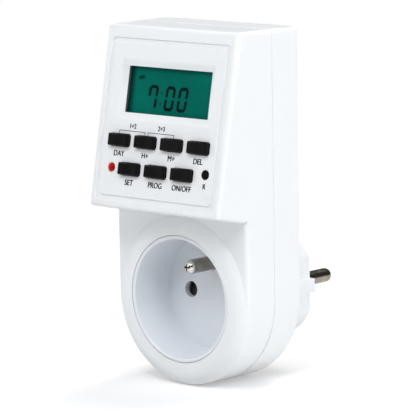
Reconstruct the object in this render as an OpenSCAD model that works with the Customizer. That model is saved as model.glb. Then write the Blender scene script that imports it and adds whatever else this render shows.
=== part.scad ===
// Plug-in timer switch: a mains adapter with a display head, seven keys, a socket and a plug.
// Millimetres. +X is right seen from the front, +Y points back along the plug pins, +Z is up.
// The origin is midway between the plug pins, on the end face of the plug body.
// The modules are written from the socket: y = 0 is the front of its ring, y grows to the back.

/* [Body] */
// Width of the body
body_w = 58.6; // [57.6:0.2:62]
// Height of the top above the socket axis
top_h = 89.7; // [88.7:0.1:94]
// Depth from the socket ring to the back of the body
body_d = 28; // [27:0.5:32]
// Depth from the socket ring to the joint between the two covers
split_d = 14.5; // [13:0.5:16]
// Wall thickness of both covers
wall = 2.2; // [1.8:0.1:2.4]
// Rounding of the outer edges
edge_r = 1.8; // [1:0.1:2.2]
// Draft angle of the front cover's sides
draft = 1.76; // [1:0.02:2.2]
// Step from the socket ring back to the lower front face
face_step = 1.5; // [1:0.1:2]
// Width of the flat land of the socket ring
ring_land = 1.9; // [1:0.1:3]
// Width of the rounded outer slope of the socket ring
ring_slope = 5.3; // [4:0.1:6]
// Depth of the shadow gap along the joint
gap_deep = 0.3; // [0.1:0.05:0.5]
// Width of the shadow gap along the joint
gap_wide = 1; // [0.5:0.1:1.5]

/* [Display head] */
// Angle at which the panel leans back
panel_tilt = 11; // [9:0.5:13]
// Length of the panel along its slope
panel_len = 60.4; // [60:0.1:62]
// Distance that the panel's lower edge stands out in front of the socket ring
overhang = 12.5; // [11:0.5:14]
// Width of the frame at each side of the control panel
frame_side = 3.3; // [3.2:0.1:3.5]
// Width of the frame above the control panel
plate_top = 4.2; // [4:0.1:4.4]
// Width of the frame below the control panel
frame_bottom = 2.8; // [2.4:0.1:3]
// Thickness of the control panel
plate_t = 2.2; // [2:0.1:2.6]
// Width of the groove around the control panel
groove_w = 1.3; // [0.8:0.1:1.6]
// Depth of the groove around the control panel
groove_d = 0.6; // [0.3:0.1:0.9]
// Thickness of the ledge that the control panel sits on
ledge_t = 1.5; // [1:0.1:2]
// Width of that ledge
ledge_w = 2.2; // [2:0.1:2.3]

/* [Display] */
// Width of the window
window_w = 36.5; // [34:0.5:37]
// Distance of the window's upper edge from the top of the head
window_s = 13.1; // [13:0.1:14]
// Distance from the window's lower edge to the middle of the upper key row
window_gap = 9.35; // [9:0.05:10]
// Width of the sloping surround of the window
bevel_w = 2.1; // [1.5:0.1:2.4]
// Depth of the window pane behind the panel's face
window_deep = 1.7; // [1.4:0.1:1.9]
// Thickness of the window pane
pane_t = 0.8; // [0.6:0.1:1]
// Overlap of the pane behind the window's edge
pane_lap = 1.2; // [0.8:0.1:1.4]
// Thickness of the display glass
glass_t = 1.8; // [1.6:0.1:2.2]

/* [Keys] */
// Distance from the side of the control panel to the nearest key
key_side = 4.25; // [3.9:0.05:4.5]
// Space between neighbouring keys
key_space = 2.9; // [2.6:0.1:3.2]
// Height of a key
key_h = 4.1; // [3.6:0.1:4.4]
// Height that a key stands out of the panel
key_rise = 2; // [1.5:0.1:2.4]
// Travel of a key
key_travel = 1; // [0.8:0.1:1.2]
// Gap around a key in its hole
key_gap = 0.2; // [0.15:0.05:0.3]
// Distance between the two key rows
row_pitch = 9.25; // [9.1:0.05:9.6]
// Distance from the lower edge of the control panel to the lower key row
row2_up = 10.5; // [10.2:0.1:10.8]
// Diameter of the reset button
reset_d = 2.9; // [2.5:0.1:3.2]
// Diameter of the status light
led_d = 3; // [2.8:0.1:3.2]
// Distance from the side of the control panel to the status light
led_in = 6; // [5.8:0.1:6.2]
// Distance from the side of the control panel to the reset button
reset_in = 4.8; // [4.7:0.1:5]
// Distance from the panel's face to the logic board
board_deep = 7; // [6.8:0.1:7.4]
// Thickness of both circuit boards
board_t = 1.6; // [1.2:0.1:1.8]

/* [Socket] */
// Diameter of the socket recess
recess_d = 40; // [39.4:0.1:40.4]
// Depth of the socket recess
recess_deep = 16.5; // [16:0.1:17.2]
// Wall thickness of the socket insert
cup_wall = 1.2; // [1:0.1:1.4]
// Thickness of the socket floor
floor_t = 2; // [1.6:0.1:2.4]
// Distance between the live holes, and between the plug pins
pin_spacing = 19; // [18.8:0.1:19.2]
// Diameter of a live hole
hole_d = 5.5; // [5:0.1:5.7]
// Height of the earth pin above the live holes
earth_up = 10; // [9.8:0.1:10.4]
// Length of the earth pin in front of the socket floor
earth_l = 12.7; // [11:0.1:14]
// Diameter of the earth pin and of the plug pins
pin_d = 4.8; // [4.7:0.05:4.9]
// Travel of the child-safety shutter
shutter_travel = 6.5; // [6.3:0.1:7]

/* [Plug] */
// Length of the plug body behind the cover
boss_l = 18.8; // [18.4:0.1:19.6]
// Diameter of the plug body
boss_d = 38.4; // [38:0.1:39]
// Width of the plug body across its two flats
boss_flat_w = 34; // [33.6:0.1:34.4]
// Wall thickness of the plug body
boss_wall = 2; // [1.8:0.1:2.2]
// Thickness of the plug body's end
boss_end_t = 3; // [2.6:0.1:3.2]
// Height of the guide rib on each flat
rib_h = 4.6; // [4:0.1:5.2]
// Length of the plug pins
pin_l = 19; // [18.8:0.1:19.4]

/* [Fasteners and gaps] */
// Diameter of a case screw's shank
screw_d = 2.8; // [2.4:0.1:3]
// Clearance between parts that are put together
fit = 0.15; // [0.1:0.05:0.2]
// Radius of a wire over its insulation
wire_r = 1.1; // [0.9:0.1:1.2]

/* [Hidden] */
$fn = 48;

over = 1;        // how far a cut runs past the face that it opens
arc_steps = 6;   // flats in a rounded edge

// Body
origin_y = -(body_d + boss_l);
half = body_w / 2;
inner_back_y = body_d - wall;
face_in_y = face_step + wall;

// Display head
panel_top_y = panel_len * sin(panel_tilt) - overhang;
panel_bottom_z = top_h - panel_len * cos(panel_tilt);
under_z = panel_bottom_z - (face_step + overhang) * tan(panel_tilt);
plate_w = body_w - 2 * frame_side;
plate_len = panel_len - plate_top - frame_bottom;
plate_mid_s = plate_top + plate_len / 2;
row2_s = plate_top + plate_len - row2_up;
row1_s = row2_s - row_pitch;
window_h = row1_s - window_gap - window_s;
window_mid_s = window_s + window_h / 2;
pane_back = window_deep + pane_t;
frame_back = max(pane_back, plate_t) + 0.2;   // back of the rib that holds the pane
glass_front = frame_back + 0.3;
glass_lap = 1.5;                     // glass that lies behind each window edge
holder_w = window_w + 2 * (glass_lap + 0.9);
holder_h = window_h + 2 * (glass_lap + 0.9);
board_back = board_deep + board_t;
panel_post_r = 1.7;
panel_post_x = plate_w / 2 - ledge_w - panel_post_r - 0.4;
panel_post_s = [plate_top + ledge_w + panel_post_r + 0.2,
                plate_top + plate_len - ledge_w - panel_post_r - 0.4];
board_w = body_w - 2 * (wall + 2.1);
board_s = [plate_top + 1.8, plate_top + plate_len - 1.6];
chip_at = [-11, row1_s];
chip_r = [4.4, 6.2];                 // at its top and at the board
chip_t = 1.5;
crystal_at = [3, row2_s - 3.1];
crystal_r = 1.5;
crystal_l = 6.2;
battery_at = [15.5, window_mid_s - 0.8];
battery_r = 5.7;
battery_t = 5.4;
ribbon_s = 19;                       // where the ribbon cable meets the logic board
ribbon_w = 10;
ribbon_t = 0.9;

// Keys: place of each key as [x, s]
key_w = (plate_w - 2 * key_side - 3 * key_space) / 4;
key_pitch = key_w + key_space;
row1 = [for (i = [0:3]) [(i - 1.5) * key_pitch, row1_s]];
row2 = [for (i = [0:2]) [(i - 1) * key_pitch, row2_s]];
led_at = [led_in - plate_w / 2, row2_s - 0.1];
reset_at = [plate_w / 2 - reset_in, row2_s - 0.9];
key_corner = 0.8;
key_crown_r = 26;
flange_w = 0.8;      // how far a key's flange reaches past its hole on each side
flange_t = 1;
reset_flange_w = 0.5;
foot_r = 1.4;
pill_r = 1.3;
pill_t = 0.4;
pill_face = board_deep - key_travel;
mat_t = 0.8;
skirt_top = plate_t + flange_t + key_travel + 0.4;
skirt_r = [3.1, 2.5];    // outer radius of a dome's skirt at its foot and at its top
skirt_t = 0.6;

// Socket
recess_r = recess_d / 2;
floor_r = recess_r - 0.6;
cup_r = recess_r + cup_wall;
cup_hole_r = cup_r + fit;
cup_flange_r = half_at(face_in_y) - wall - 0.3;
cup_flange_t = 1.5;
pillar_r = 1.2;      // pillars of the rear cover that press on the insert's flange
floor_back_y = recess_deep + floor_t;
ring_r = cup_hole_r + ring_land;
ring_deep = 3.2;     // depth over which the ring's slope turns into the side
pin_x = pin_spacing / 2;
pin_r = pin_d / 2;
flange_plate = 1.2;  // thickness of the earth pin's flange
collar_r = pin_r + 0.3;    // a pin's root, where it passes through the plastic

// Shutter: it slides down behind the socket floor
shutter_gap = 0.2;
shutter_y = floor_back_y + shutter_gap;
shutter_t = 1.2;
shutter_half_w = pin_x + 4.5;
pad_top = hole_d / 2 + 0.75;
pad_half_w = hole_d / 2 + 0.45;
beam_h = 3;
spring_r = 1.2;
spring_wire_r = 0.2;
spring_turns = 6;
spring_y = shutter_y + 1.35;
spring_seat_z = -16;
peg_r = 0.8;
peg_l = 1.2;

// Plug body and contacts
boss_r = boss_d / 2;
boss_flat = boss_flat_w / 2;
boss_end_y = body_d + boss_l;
boss_in_y = boss_end_y - boss_end_t;
cavity_r = boss_r - boss_wall;
cavity_flat = boss_flat - boss_wall;
contact_in_r = pin_r + 0.05;
contact_out_r = contact_in_r + 0.75;
contact_y = shutter_y + 2.5 + 0.4;
contact_back_y = recess_deep + pin_l + 0.5;
plate_thick = 1;
carrier_y = contact_back_y + plate_thick;
carrier_t = 1.5;
root_t = 1.2;
root_r = 3.6;
root_y = boss_in_y - root_t;
strip_t = 0.8;
strip_half_w = 3;
strap_z = earth_up + 3.5;
receptacle_y = body_d + 2;
clip_pad_z = strap_z + strip_t + 0.3;
clip_z = boss_r - 1.8;
line_wire_z = sqrt(pow(cavity_r - wire_r - 0.5, 2) - pow(pin_x, 2));    // close to the wall
wire_turn_y = body_d - 3.9;
wire_side = 3.5;           // distance between the two wires of the line

// Case screws
post_r = 3;
post_x = half - wall - post_r + 0.6;
post_z = [25, top_h - 7.7];
post_front_y = [face_in_y - 0.5, panel_top_y + 9.5];
screw_r = screw_d / 2;
pocket_r = 2.9;
pocket_post_r = pocket_r + 1.4;
pocket_y = body_d - 4;
screw_deep = 4.6;               // length of screw in the front cover's post

// Power board
power_y = inner_back_y - 3.8;
power_half_w = post_x - pocket_post_r - 0.9;
power_low_z = 28;
power_z = [power_low_z, top_h - 3.7];
power_post = [power_half_w - 2.5, power_z[0] + 3, power_z[1] - 3];    // x, lower z, upper z
solder_z = power_z[0] + 3.5;    // height at which the wires meet the board
ribbon_z = power_z[1] - 3;
relay_size = [15.4, 19, 15];    // across, up and out of the board
relay_x = relay_size[0] / 2 + 0.8 - power_half_w;
film_size = [7.4, 18, 14];
film_x = relay_x + (relay_size[0] + film_size[0]) / 2 + 1.5;
tall_z = power_z[0] + 15;       // middle of the relay and of the film capacitor
small_z = power_z[0] + 30;      // lowest of the small parts above them
can_r = 4.2;
can_l = 11;
can_z = tall_z + film_size[1] / 2 + can_r + 0.2;
varistor_r = 5.2;
varistor_t = 3.8;

white = "whitesmoke";
brass = "goldenrod";
board_green = "seagreen";

// ---- Helpers ----

function unit(v) = v / norm(v);

// Half the width of the outside at a depth y: the front cover narrows towards its front
function half_at(y) = half - max(split_d - y, 0) * tan(draft);

// A point given on the panel, s down its slope and w out of its face, as [y, z]
function panel_yz(s, w) = [
    panel_top_y - s * sin(panel_tilt) - w * cos(panel_tilt),
    top_h - s * cos(panel_tilt) + w * sin(panel_tilt)
];

// The points of a rounded corner at b, between its neighbours a and c
function corner_arc(a, b, c, r) =
    let (
        u = unit(a - b),
        v = unit(c - b),
        turn = acos(u * v) / 2,
        mid = b + unit(u + v) * r / sin(turn),
        first = b + u * r / tan(turn) - mid,
        last = b + v * r / tan(turn) - mid,
        a0 = atan2(first[1], first[0]),
        full = atan2(last[1], last[0]) - a0,
        sweep = full > 180 ? full - 360 : full < -180 ? full + 360 : full
    )
    [for (i = [0:arc_steps]) let (t = a0 + sweep * i / arc_steps) mid + r * [cos(t), sin(t)]];

// A polygon with a radius for each corner, 0 for a sharp one
function rounded(points, radii) =
    let (n = len(points))
    [for (i = [0:n - 1])
        each radii[i] == 0
            ? [points[i]]
            : corner_arc(points[(i + n - 1) % n], points[i], points[(i + 1) % n], radii[i])];

function rectangle(w, h) = [[-w / 2, -h / 2], [w / 2, -h / 2], [w / 2, h / 2], [-w / 2, h / 2]];

// Where two lines meet, each given by two points
function crossing(p, q) =
    let (
        d = p[1] - p[0],
        e = q[1] - q[0],
        t = ((q[0][0] - p[0][0]) * e[1] - (q[0][1] - p[0][1]) * e[0]) / (d[0] * e[1] - d[1] * e[0])
    )
    p[0] + d * t;

// A line moved to its left
function shifted(a, b, by) = let (d = unit(b - a), n = [-d[1], d[0]] * by) [a + n, b + n];

// A polygon with each side moved inwards by its own distance
function inset(points, by) =
    let (n = len(points))
    [for (i = [0:n - 1])
        let (before = (i + n - 1) % n)
        crossing(shifted(points[before], points[i], by[before]),
                 shifted(points[i], points[(i + 1) % n], by[i]))];

module placed() translate([0, origin_y, 0]) children();

// A frame on the panel: x across, y up its slope from its upper edge, z out of its face
module on_panel() translate([0, panel_top_y, top_h]) rotate([90 - panel_tilt, 0, 0]) children();

module along_x(points, width) rotate([90, 0, 90]) linear_extrude(width, center = true) polygon(points);

module along_y(points, y0, y1)
    translate([0, y1, 0]) rotate([90, 0, 0]) linear_extrude(y1 - y0) polygon(points);

// A profile of [radius, y] turned around the socket axis
module turned(points) rotate([-90, 0, 0]) rotate_extrude($fn = 96) polygon(points);

module rod_y(x, z, r, y0, y1) translate([x, y0, z]) rotate([-90, 0, 0]) cylinder(h = y1 - y0, r = r);

module block(x, y, z) translate([x[0], y[0], z[0]]) cube([x[1] - x[0], y[1] - y[0], z[1] - z[0]]);

// A rounded plate on the panel, centred at s, from depth w0 up to w1
module panel_plate(w, h, s, w0, w1, r = 0)
    translate([0, -s, w0]) linear_extrude(w1 - w0)
        polygon(r == 0 ? rectangle(w, h) : rounded(rectangle(w, h), [r, r, r, r]));

// What is cut away to round an edge that runs along +Y, with material at -X and -Z
module edge_cut(length) {
    out = 0.03;
    points = concat([[out - edge_r, over], [over, over], [over, out - edge_r]],
                    [for (i = [0:arc_steps])
                        let (t = 90 * i / arc_steps)
                        [out - edge_r + edge_r * cos(t), out - edge_r + edge_r * sin(t)]]);
    along_y(points, 0, length);
}

module both_sides() {
    children();
    mirror([1, 0, 0]) children();
}

module below() intersection() {
    children();
    block([-body_w, body_w], [-body_w, body_w], [-body_w, 0]);
}

// ---- Front cover ----

// The side view of the front cover, from the panel's lower edge anticlockwise
head_profile = [
    [-overhang, panel_bottom_z], [face_step, under_z], [face_step, 0], [split_d, 0],
    [split_d, top_h], [panel_top_y, top_h]
];

module front_block(profile, in) {
    y0 = -overhang - over;
    y1 = split_d + over;
    intersection() {
        along_x(profile, body_w + 2 * over);
        translate([0, 0, -over]) linear_extrude(top_h + 2 * over)
            polygon([[in - half_at(y0), y0], [half_at(y0) - in, y0],
                     [half + over * tan(draft) - in, y1], [in - half - over * tan(draft), y1]]);
    }
}

module front_outside() {
    panel_edge_turn = atan((half_at(panel_top_y) - half_at(-overhang)) / panel_len);
    difference() {
        front_block(rounded(head_profile, [edge_r, 0, 0, 0, 0, edge_r]), 0);
        both_sides() {
            // edges beside the panel
            on_panel() translate([half_at(-overhang), -panel_len, 0]) rotate([0, 0, -panel_edge_turn])
                rotate([0, -draft / 2, 0]) translate([0, -over, 0]) edge_cut(panel_len + 2 * over);
            // edges beside the overhang's underside
            on_panel() translate([half_at(-overhang), -panel_len, 0]) rotate([0, -draft, 0])
                translate([0, 0, over]) rotate([-90, 0, 0]) mirror([0, 0, 1])
                    edge_cut((face_step + overhang) / cos(panel_tilt) + over);
            // upright edges of the lower face
            translate([half_at(face_step), face_step, under_z]) rotate([0, 0, -draft / 2])
                rotate([-90, 0, 0]) mirror([0, 0, 1]) edge_cut(under_z + over);
            // edges beside the top
            translate([half_at(panel_top_y), panel_top_y, top_h]) rotate([0, 0, -draft])
                translate([0, -over, 0]) edge_cut(split_d - panel_top_y + 2 * over);
        }
    }
    below() turned(rounded([[0, face_step], [half_at(face_step), face_step], [half, split_d],
                            [0, split_d]], [0, edge_r, 0, 0]));
    turned(concat([[recess_r, 0]],
                  [for (i = [0:arc_steps + 2])
                      let (t = 90 * i / (arc_steps + 2))
                      [ring_r + ring_slope * sin(t), ring_deep * (1 - cos(t))]],
                  [[ring_r + ring_slope, face_in_y - 0.1], [recess_r, face_in_y - 0.1]]));
}

module front_inside() {
    front_wall = plate_t + ledge_t;
    front_block(inset(head_profile, [wall, wall, -over, -over, wall, front_wall]), wall);
    below() turned([[0, face_in_y], [half_at(face_in_y) - wall, face_in_y],
                    [half - wall, split_d], [half - wall, split_d + over], [0, split_d + over]]);
}

module front_posts() {
    for (i = [0, 1], side = [-1, 1])
        rod_y(side * post_x, post_z[i], post_r, post_front_y[i], split_d);
}

module front_cover() color(white) difference() {
    union() {
        difference() {
            front_outside();
            front_inside();
        }
        intersection() {
            front_posts();
            front_outside();
        }
    }
    // seat and opening for the control panel
    on_panel() {
        panel_plate(plate_w, plate_len, plate_mid_s, -plate_t, over, 1.8);
        panel_plate(plate_w - 2 * ledge_w, plate_len - 2 * ledge_w, plate_mid_s,
                    -plate_t - ledge_t - over, -plate_t + over, 1);
    }
    rod_y(0, 0, cup_hole_r, -over, face_in_y + over);
    // shadow gap along the joint
    difference() {
        body_section(-over, split_d - gap_wide, split_d + over);
        body_section(gap_deep, split_d - gap_wide - over, split_d + 2 * over);
    }
    for (z = post_z, side = [-1, 1])
        rod_y(side * post_x, z, screw_r + 0.03, split_d - screw_deep - 0.3, split_d + over);
}

// ---- Rear cover ----

// A straight-sided body with a round bottom, from y0 to y1
module body_section(in, y0, y1) {
    block([in - half, half - in], [y0, y1], [0, top_h - in]);
    below() rod_y(0, 0, half - in, y0, y1);
}

module rear_outside() {
    difference() {
        block([-half, half], [split_d, body_d], [0, top_h]);
        both_sides() {
            translate([half, split_d - over, top_h]) edge_cut(body_d - split_d + 2 * over);
            translate([half, body_d, -over]) rotate([90, 0, 0]) mirror([0, 0, 1])
                edge_cut(top_h + 2 * over);
        }
        translate([-half - over, body_d, top_h]) rotate([0, 0, -90]) mirror([1, 0, 0])
            edge_cut(body_w + 2 * over);
    }
    below() turned(rounded([[0, split_d], [half, split_d], [half, body_d], [0, body_d]],
                           [0, 0, edge_r, 0]));
}

module boss_section(r, flat, y0, y1) intersection() {
    rod_y(0, 0, r, y0, y1);
    block([-flat, flat], [y0 - over, y1 + over], [-r - over, r + over]);
}

module rear_tongue() {
    tongue_h = 2;
    tongue_in = half - half_at(split_d - tongue_h) + wall + fit;
    difference() {
        body_section(tongue_in, split_d - tongue_h, split_d + over);
        body_section(tongue_in + 1, split_d - tongue_h - over, split_d + 2 * over);
        for (z = post_z, side = [-1, 1])
            rod_y(side * post_x, z, post_r + 2 * fit, split_d - tongue_h - over, split_d);
    }
}

module rear_cover() color(white) difference() {
    union() {
        difference() {
            union() {
                rear_outside();
                boss_section(boss_r, boss_flat, body_d - over, boss_end_y);
                for (side = [-1, 1])
                    block([min(side * (boss_flat - over), side * boss_r),
                           max(side * (boss_flat - over), side * boss_r)],
                          [body_d - over, boss_end_y], [-rib_h / 2, rib_h / 2]);
            }
            body_section(wall, split_d - over, inner_back_y);
            boss_section(cavity_r, cavity_flat, inner_back_y - over, boss_in_y);
        }
        rear_tongue();
        // posts for the case screws
        intersection() {
            for (z = post_z, side = [-1, 1])
                rod_y(side * post_x, z, pocket_post_r, split_d, body_d - edge_r);
            body_section(gap_deep + 0.2, split_d, body_d);
        }
        // posts for the power board
        for (x = [-power_post[0], power_post[0]], z = [power_post[1], power_post[2]])
            rod_y(x, z, 2.4, power_y + board_t, inner_back_y + 0.1);
        // pillars that press the socket insert forward
        for (turn = [30, 150, 230, 310]) {
            out = cup_r + fit + pillar_r;
            rod_y(out * cos(turn), out * sin(turn), pillar_r, face_in_y + cup_flange_t,
                  inner_back_y + 0.1);
        }
        // pads under the earth clips, and stops for the contact carrier
        for (side = [-1, 1])
            intersection() {
                boss_section(boss_r - 0.5, boss_flat, body_d - wall, boss_in_y + 0.1);
                block([-4.6, 4.6], [body_d - wall, boss_in_y + 0.1],
                      [side > 0 ? clip_pad_z : -boss_r, side > 0 ? boss_r : -clip_pad_z]);
            }
        for (x = [-1, 1], z = [-1, 1])
            rod_y(x * (cavity_flat - 1.7), z * 6.2, 1.4, carrier_y + carrier_t, boss_in_y + 0.1);
    }
    // plug pin holes and the earth hole
    for (x = [-pin_x, pin_x])
        rod_y(x, 0, collar_r + 0.02, boss_in_y - over, boss_end_y + over);
    rod_y(0, earth_up, pin_r + 0.3, boss_in_y - over, boss_end_y + over);
    // channels and slots for the earth clips
    for (side = [-1, 1])
        mirror([0, 0, side > 0 ? 0 : 1]) {
            block([-strip_half_w - fit, strip_half_w + fit], [body_d + 2.5, boss_end_y - 1.2],
                  [clip_z - 0.1, boss_r + over]);
            block([-strip_half_w - fit, strip_half_w + fit], [body_d + 2.8, body_d + 4.2],
                  [clip_pad_z - over, boss_r]);
        }
    // case screw pockets and holes
    for (z = post_z, side = [-1, 1]) {
        rod_y(side * post_x, z, pocket_r, pocket_y, body_d + over);
        rod_y(side * post_x, z, screw_r + fit, split_d - over, pocket_y + over);
    }
    // screw holes in the power board's posts
    for (x = [-power_post[0], power_post[0]], z = [power_post[1], power_post[2]])
        rod_y(x, z, 1.03, power_y, inner_back_y - 0.2);
}

// ---- Control panel and display ----

module panel_hook(side) {
    // side 1 hooks over the upper edge of the opening, -1 over the lower one
    edge = side > 0 ? -plate_top - ledge_w : -plate_top - plate_len + ledge_w;
    for (x = [-11, 11])
        translate([x - 2, 0, 0]) rotate([90, 0, 90]) linear_extrude(4)
            polygon([[edge - side * fit, -plate_t], [edge - side * (fit + 0.8), -plate_t],
                     [edge - side * (fit + 0.8), -plate_t - ledge_t - 0.9],
                     [edge + side * 0.6, -plate_t - ledge_t - 0.05],
                     [edge - side * fit, -plate_t - ledge_t - 0.05]]);
}

module window_bevel() {
    // a frustum, cut as the overlap of two tapered prisms
    wide = window_w / 2;
    high = window_h / 2;
    deep = window_deep - 0.2;
    grow = bevel_w / deep;
    translate([0, -window_mid_s, 0]) intersection() {
        along_y([[-wide, -deep], [wide, -deep], [wide + bevel_w + grow * over, over],
                 [-wide - bevel_w - grow * over, over]], -body_w, body_w);
        along_x([[-high, -deep], [high, -deep], [high + bevel_w + grow * over, over],
                 [-high - bevel_w - grow * over, over]], 2 * body_w);
    }
}

module control_panel() color(white) on_panel() difference() {
    union() {
        panel_plate(plate_w - 2 * fit, plate_len - 2 * fit, plate_mid_s, -plate_t, -groove_d, 1.6);
        panel_plate(plate_w - 2 * groove_w, plate_len - 2 * groove_w, plate_mid_s,
                    -plate_t, 0, 1.2);
        panel_plate(window_w + 2 * (pane_lap + 1.2), window_h + 2 * (pane_lap + 1.2), window_mid_s,
                    -frame_back, -plate_t + 0.1, 1);
        for (x = [-panel_post_x, panel_post_x], s = panel_post_s)
            translate([x, -s, -board_deep]) cylinder(h = board_deep - plate_t + 0.1, r = panel_post_r);
        panel_hook(1);
        panel_hook(-1);
    }
    window_bevel();
    panel_plate(window_w, window_h, window_mid_s, -window_deep - over, 0);
    panel_plate(window_w + 2 * pane_lap, window_h + 2 * pane_lap, window_mid_s,
                -frame_back - over, -window_deep);
    for (at = concat(row1, row2))
        translate([at[0], 0, 0])
            panel_plate(key_w + 2 * key_gap, key_h + 2 * key_gap, at[1],
                        -plate_t - over, over, key_corner + key_gap);
    translate([led_at[0], -led_at[1], -plate_t - over]) cylinder(h = 2 * plate_t + over, r = led_d / 2 + 0.1);
    translate([reset_at[0], -reset_at[1], -plate_t - over])
        cylinder(h = 2 * plate_t + over, r = reset_d / 2 + key_gap);
    for (x = [-panel_post_x, panel_post_x], s = panel_post_s)
        translate([x, -s, -board_deep - over]) cylinder(h = 4.5 + over, r = 0.93);
}

module display_window() color("lightcyan", 0.4) on_panel()
    panel_plate(window_w + 2 * (pane_lap - fit), window_h + 2 * (pane_lap - fit), window_mid_s,
                -pane_back, -window_deep, 0.5);

module lcd_glass() color("darkslategray") on_panel()
    panel_plate(window_w + 2 * glass_lap, window_h + 2 * glass_lap, window_mid_s,
                -glass_front - glass_t, -glass_front);

module lcd_holder() color("dimgray") on_panel() difference() {
    panel_plate(holder_w, holder_h, window_mid_s, -board_deep, -frame_back, 0.6);
    panel_plate(window_w + 2 * (glass_lap + fit), window_h + 2 * (glass_lap + fit), window_mid_s,
                -board_deep - over, -glass_front);
    panel_plate(window_w + 1, window_h + 1, window_mid_s, -board_deep, -frame_back + over);
}

module zebra_strips() color("gray") on_panel()
    for (side = [-1, 1])
        panel_plate(window_w, 1.4, window_mid_s + side * (window_h / 2 + 0.6),
                    -board_deep, -glass_front - glass_t);

module logic_board() color(board_green) on_panel() difference() {
    panel_plate(board_w, board_s[1] - board_s[0], (board_s[0] + board_s[1]) / 2,
                -board_back, -board_deep);
    for (x = [-panel_post_x, panel_post_x], s = panel_post_s)
        translate([x, -s, -board_back - over]) cylinder(h = board_t + 2 * over, r = 1.1);
}

module chip_cover() color("black") on_panel()
    translate([chip_at[0], -chip_at[1], -board_back - chip_t])
        cylinder(h = chip_t, r1 = chip_r[0], r2 = chip_r[1]);

module timing_crystal() color("silver") on_panel()
    translate([crystal_at[0], -crystal_at[1], -board_back - crystal_r]) rotate([0, 90, 0])
        cylinder(h = crystal_l, r = crystal_r);

module backup_battery() color("gainsboro") on_panel()
    translate([battery_at[0], -battery_at[1], -board_back - battery_t]) {
        cylinder(h = battery_t, r = battery_r);
        translate([0, 0, -0.3]) cylinder(h = 0.3, r = battery_r - 1.5);
    }

// One side of a strip that follows points [y, z], moved off them by a distance
function strip_side(points, by) =
    let (last = len(points) - 1)
    [for (i = [0:last])
        i == 0 ? shifted(points[0], points[1], by)[0]
        : i == last ? shifted(points[last - 1], points[last], by)[1]
        : crossing(shifted(points[i - 1], points[i], by), shifted(points[i], points[i + 1], by))];

module ribbon_cable() color("lightgray") {
    way = [[power_y, ribbon_z], [power_y - 3.5, ribbon_z], panel_yz(ribbon_s, -board_back - 4),
           panel_yz(ribbon_s, -board_back)];
    right_side = strip_side(way, -ribbon_t / 2);
    along_x(concat(strip_side(way, ribbon_t / 2), [for (i = [len(way) - 1:-1:0]) right_side[i]]),
            ribbon_w);
}

// ---- Keys ----

module dome_skirt() difference() {
    translate([0, 0, -board_deep]) cylinder(h = board_deep - skirt_top, r1 = skirt_r[0], r2 = skirt_r[1]);
    translate([0, 0, -board_deep - 0.01])
        cylinder(h = board_deep - skirt_top + 0.02, r1 = skirt_r[0] - skirt_t, r2 = skirt_r[1] - skirt_t);
}

module key_mat() color("silver") on_panel() {
    places = concat(row1, row2, [reset_at]);
    left = led_at[0] - 2.8;
    right = reset_at[0] + skirt_r[0] + 0.4;
    difference() {
        translate([left, -row2_s - 3.9, -board_deep]) cube([right - left, row2_s - row1_s + 7.8, mat_t]);
        for (at = places)
            translate([at[0], -at[1], -board_deep - over])
                cylinder(h = mat_t + 2 * over, r = skirt_r[0] - 0.3);
        translate([led_at[0], -led_at[1], -board_deep - over]) cylinder(h = mat_t + 2 * over, r = 2.1);
    }
    for (at = places) translate([at[0], -at[1], 0]) dome_skirt();
}

module key_foot() translate([0, 0, pill_t - pill_face])
    cylinder(h = pill_face - pill_t - plate_t - flange_t + 0.1, r = foot_r);

module key(at) color([0.1, 0.1, 0.1]) on_panel() translate([at[0], -at[1], 0]) {
    intersection() {
        panel_plate(key_w, key_h, 0, -plate_t - 0.1, key_rise + over, key_corner);
        translate([0, body_w, key_rise - key_crown_r]) rotate([90, 0, 0])
            cylinder(h = 2 * body_w, r = key_crown_r, $fn = 96);
    }
    panel_plate(key_w + 2 * (key_gap + flange_w), key_h + 2 * (key_gap + flange_w), 0,
                -plate_t - flange_t, -plate_t, 0.6);
    key_foot();
}

module pill(at) color("black") on_panel()
    translate([at[0], -at[1], -pill_face]) cylinder(h = pill_t, r = pill_r);

module key_weekday() key(row1[0]);
module key_hour() key(row1[1]);
module key_minute() key(row1[2]);
module key_clear() key(row1[3]);
module key_clock() key(row2[0]);
module key_program() key(row2[1]);
module key_mode() key(row2[2]);
module pill_weekday() pill(row1[0]);
module pill_hour() pill(row1[1]);
module pill_minute() pill(row1[2]);
module pill_clear() pill(row1[3]);
module pill_clock() pill(row2[0]);
module pill_program() pill(row2[1]);
module pill_mode() pill(row2[2]);
module pill_reset() pill(reset_at);

module reset_button() color([0.1, 0.1, 0.1]) on_panel() translate([reset_at[0], -reset_at[1], 0]) {
    translate([0, 0, -plate_t - 0.1]) cylinder(h = plate_t + 0.1 + 0.2, r = reset_d / 2);
    translate([0, 0, -plate_t - flange_t]) cylinder(h = flange_t, r = reset_d / 2 + key_gap + reset_flange_w);
    key_foot();
}

module status_led() color("red") on_panel() translate([led_at[0], -led_at[1], 0]) {
    led_r = led_d / 2;
    translate([0, 0, 1 - led_r]) sphere(led_r);
    translate([0, 0, -4.3]) cylinder(h = 5.3 - led_r, r = led_r);
    translate([0, 0, -4.3]) cylinder(h = 0.8, r = led_r + 0.35);
    for (side = [-1, 1])
        translate([side * 1.27, 0, -board_deep]) cylinder(h = board_deep - 4.2, r = 0.25);
}

// ---- Screws ----

// A pan-head screw: its head on z = 0 and above, its shank below, a cross in the head
module screw(r, length, head_r, head_h) {
    translate([0, 0, -length]) cylinder(h = length, r = r);
    difference() {
        cylinder(h = head_h, r = head_r);
        for (turn = [0, 90])
            rotate([0, 0, turn]) translate([-head_r * 0.65, -head_r * 0.12, head_h * 0.4])
                cube([head_r * 1.3, head_r * 0.24, head_h]);
    }
}

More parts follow.
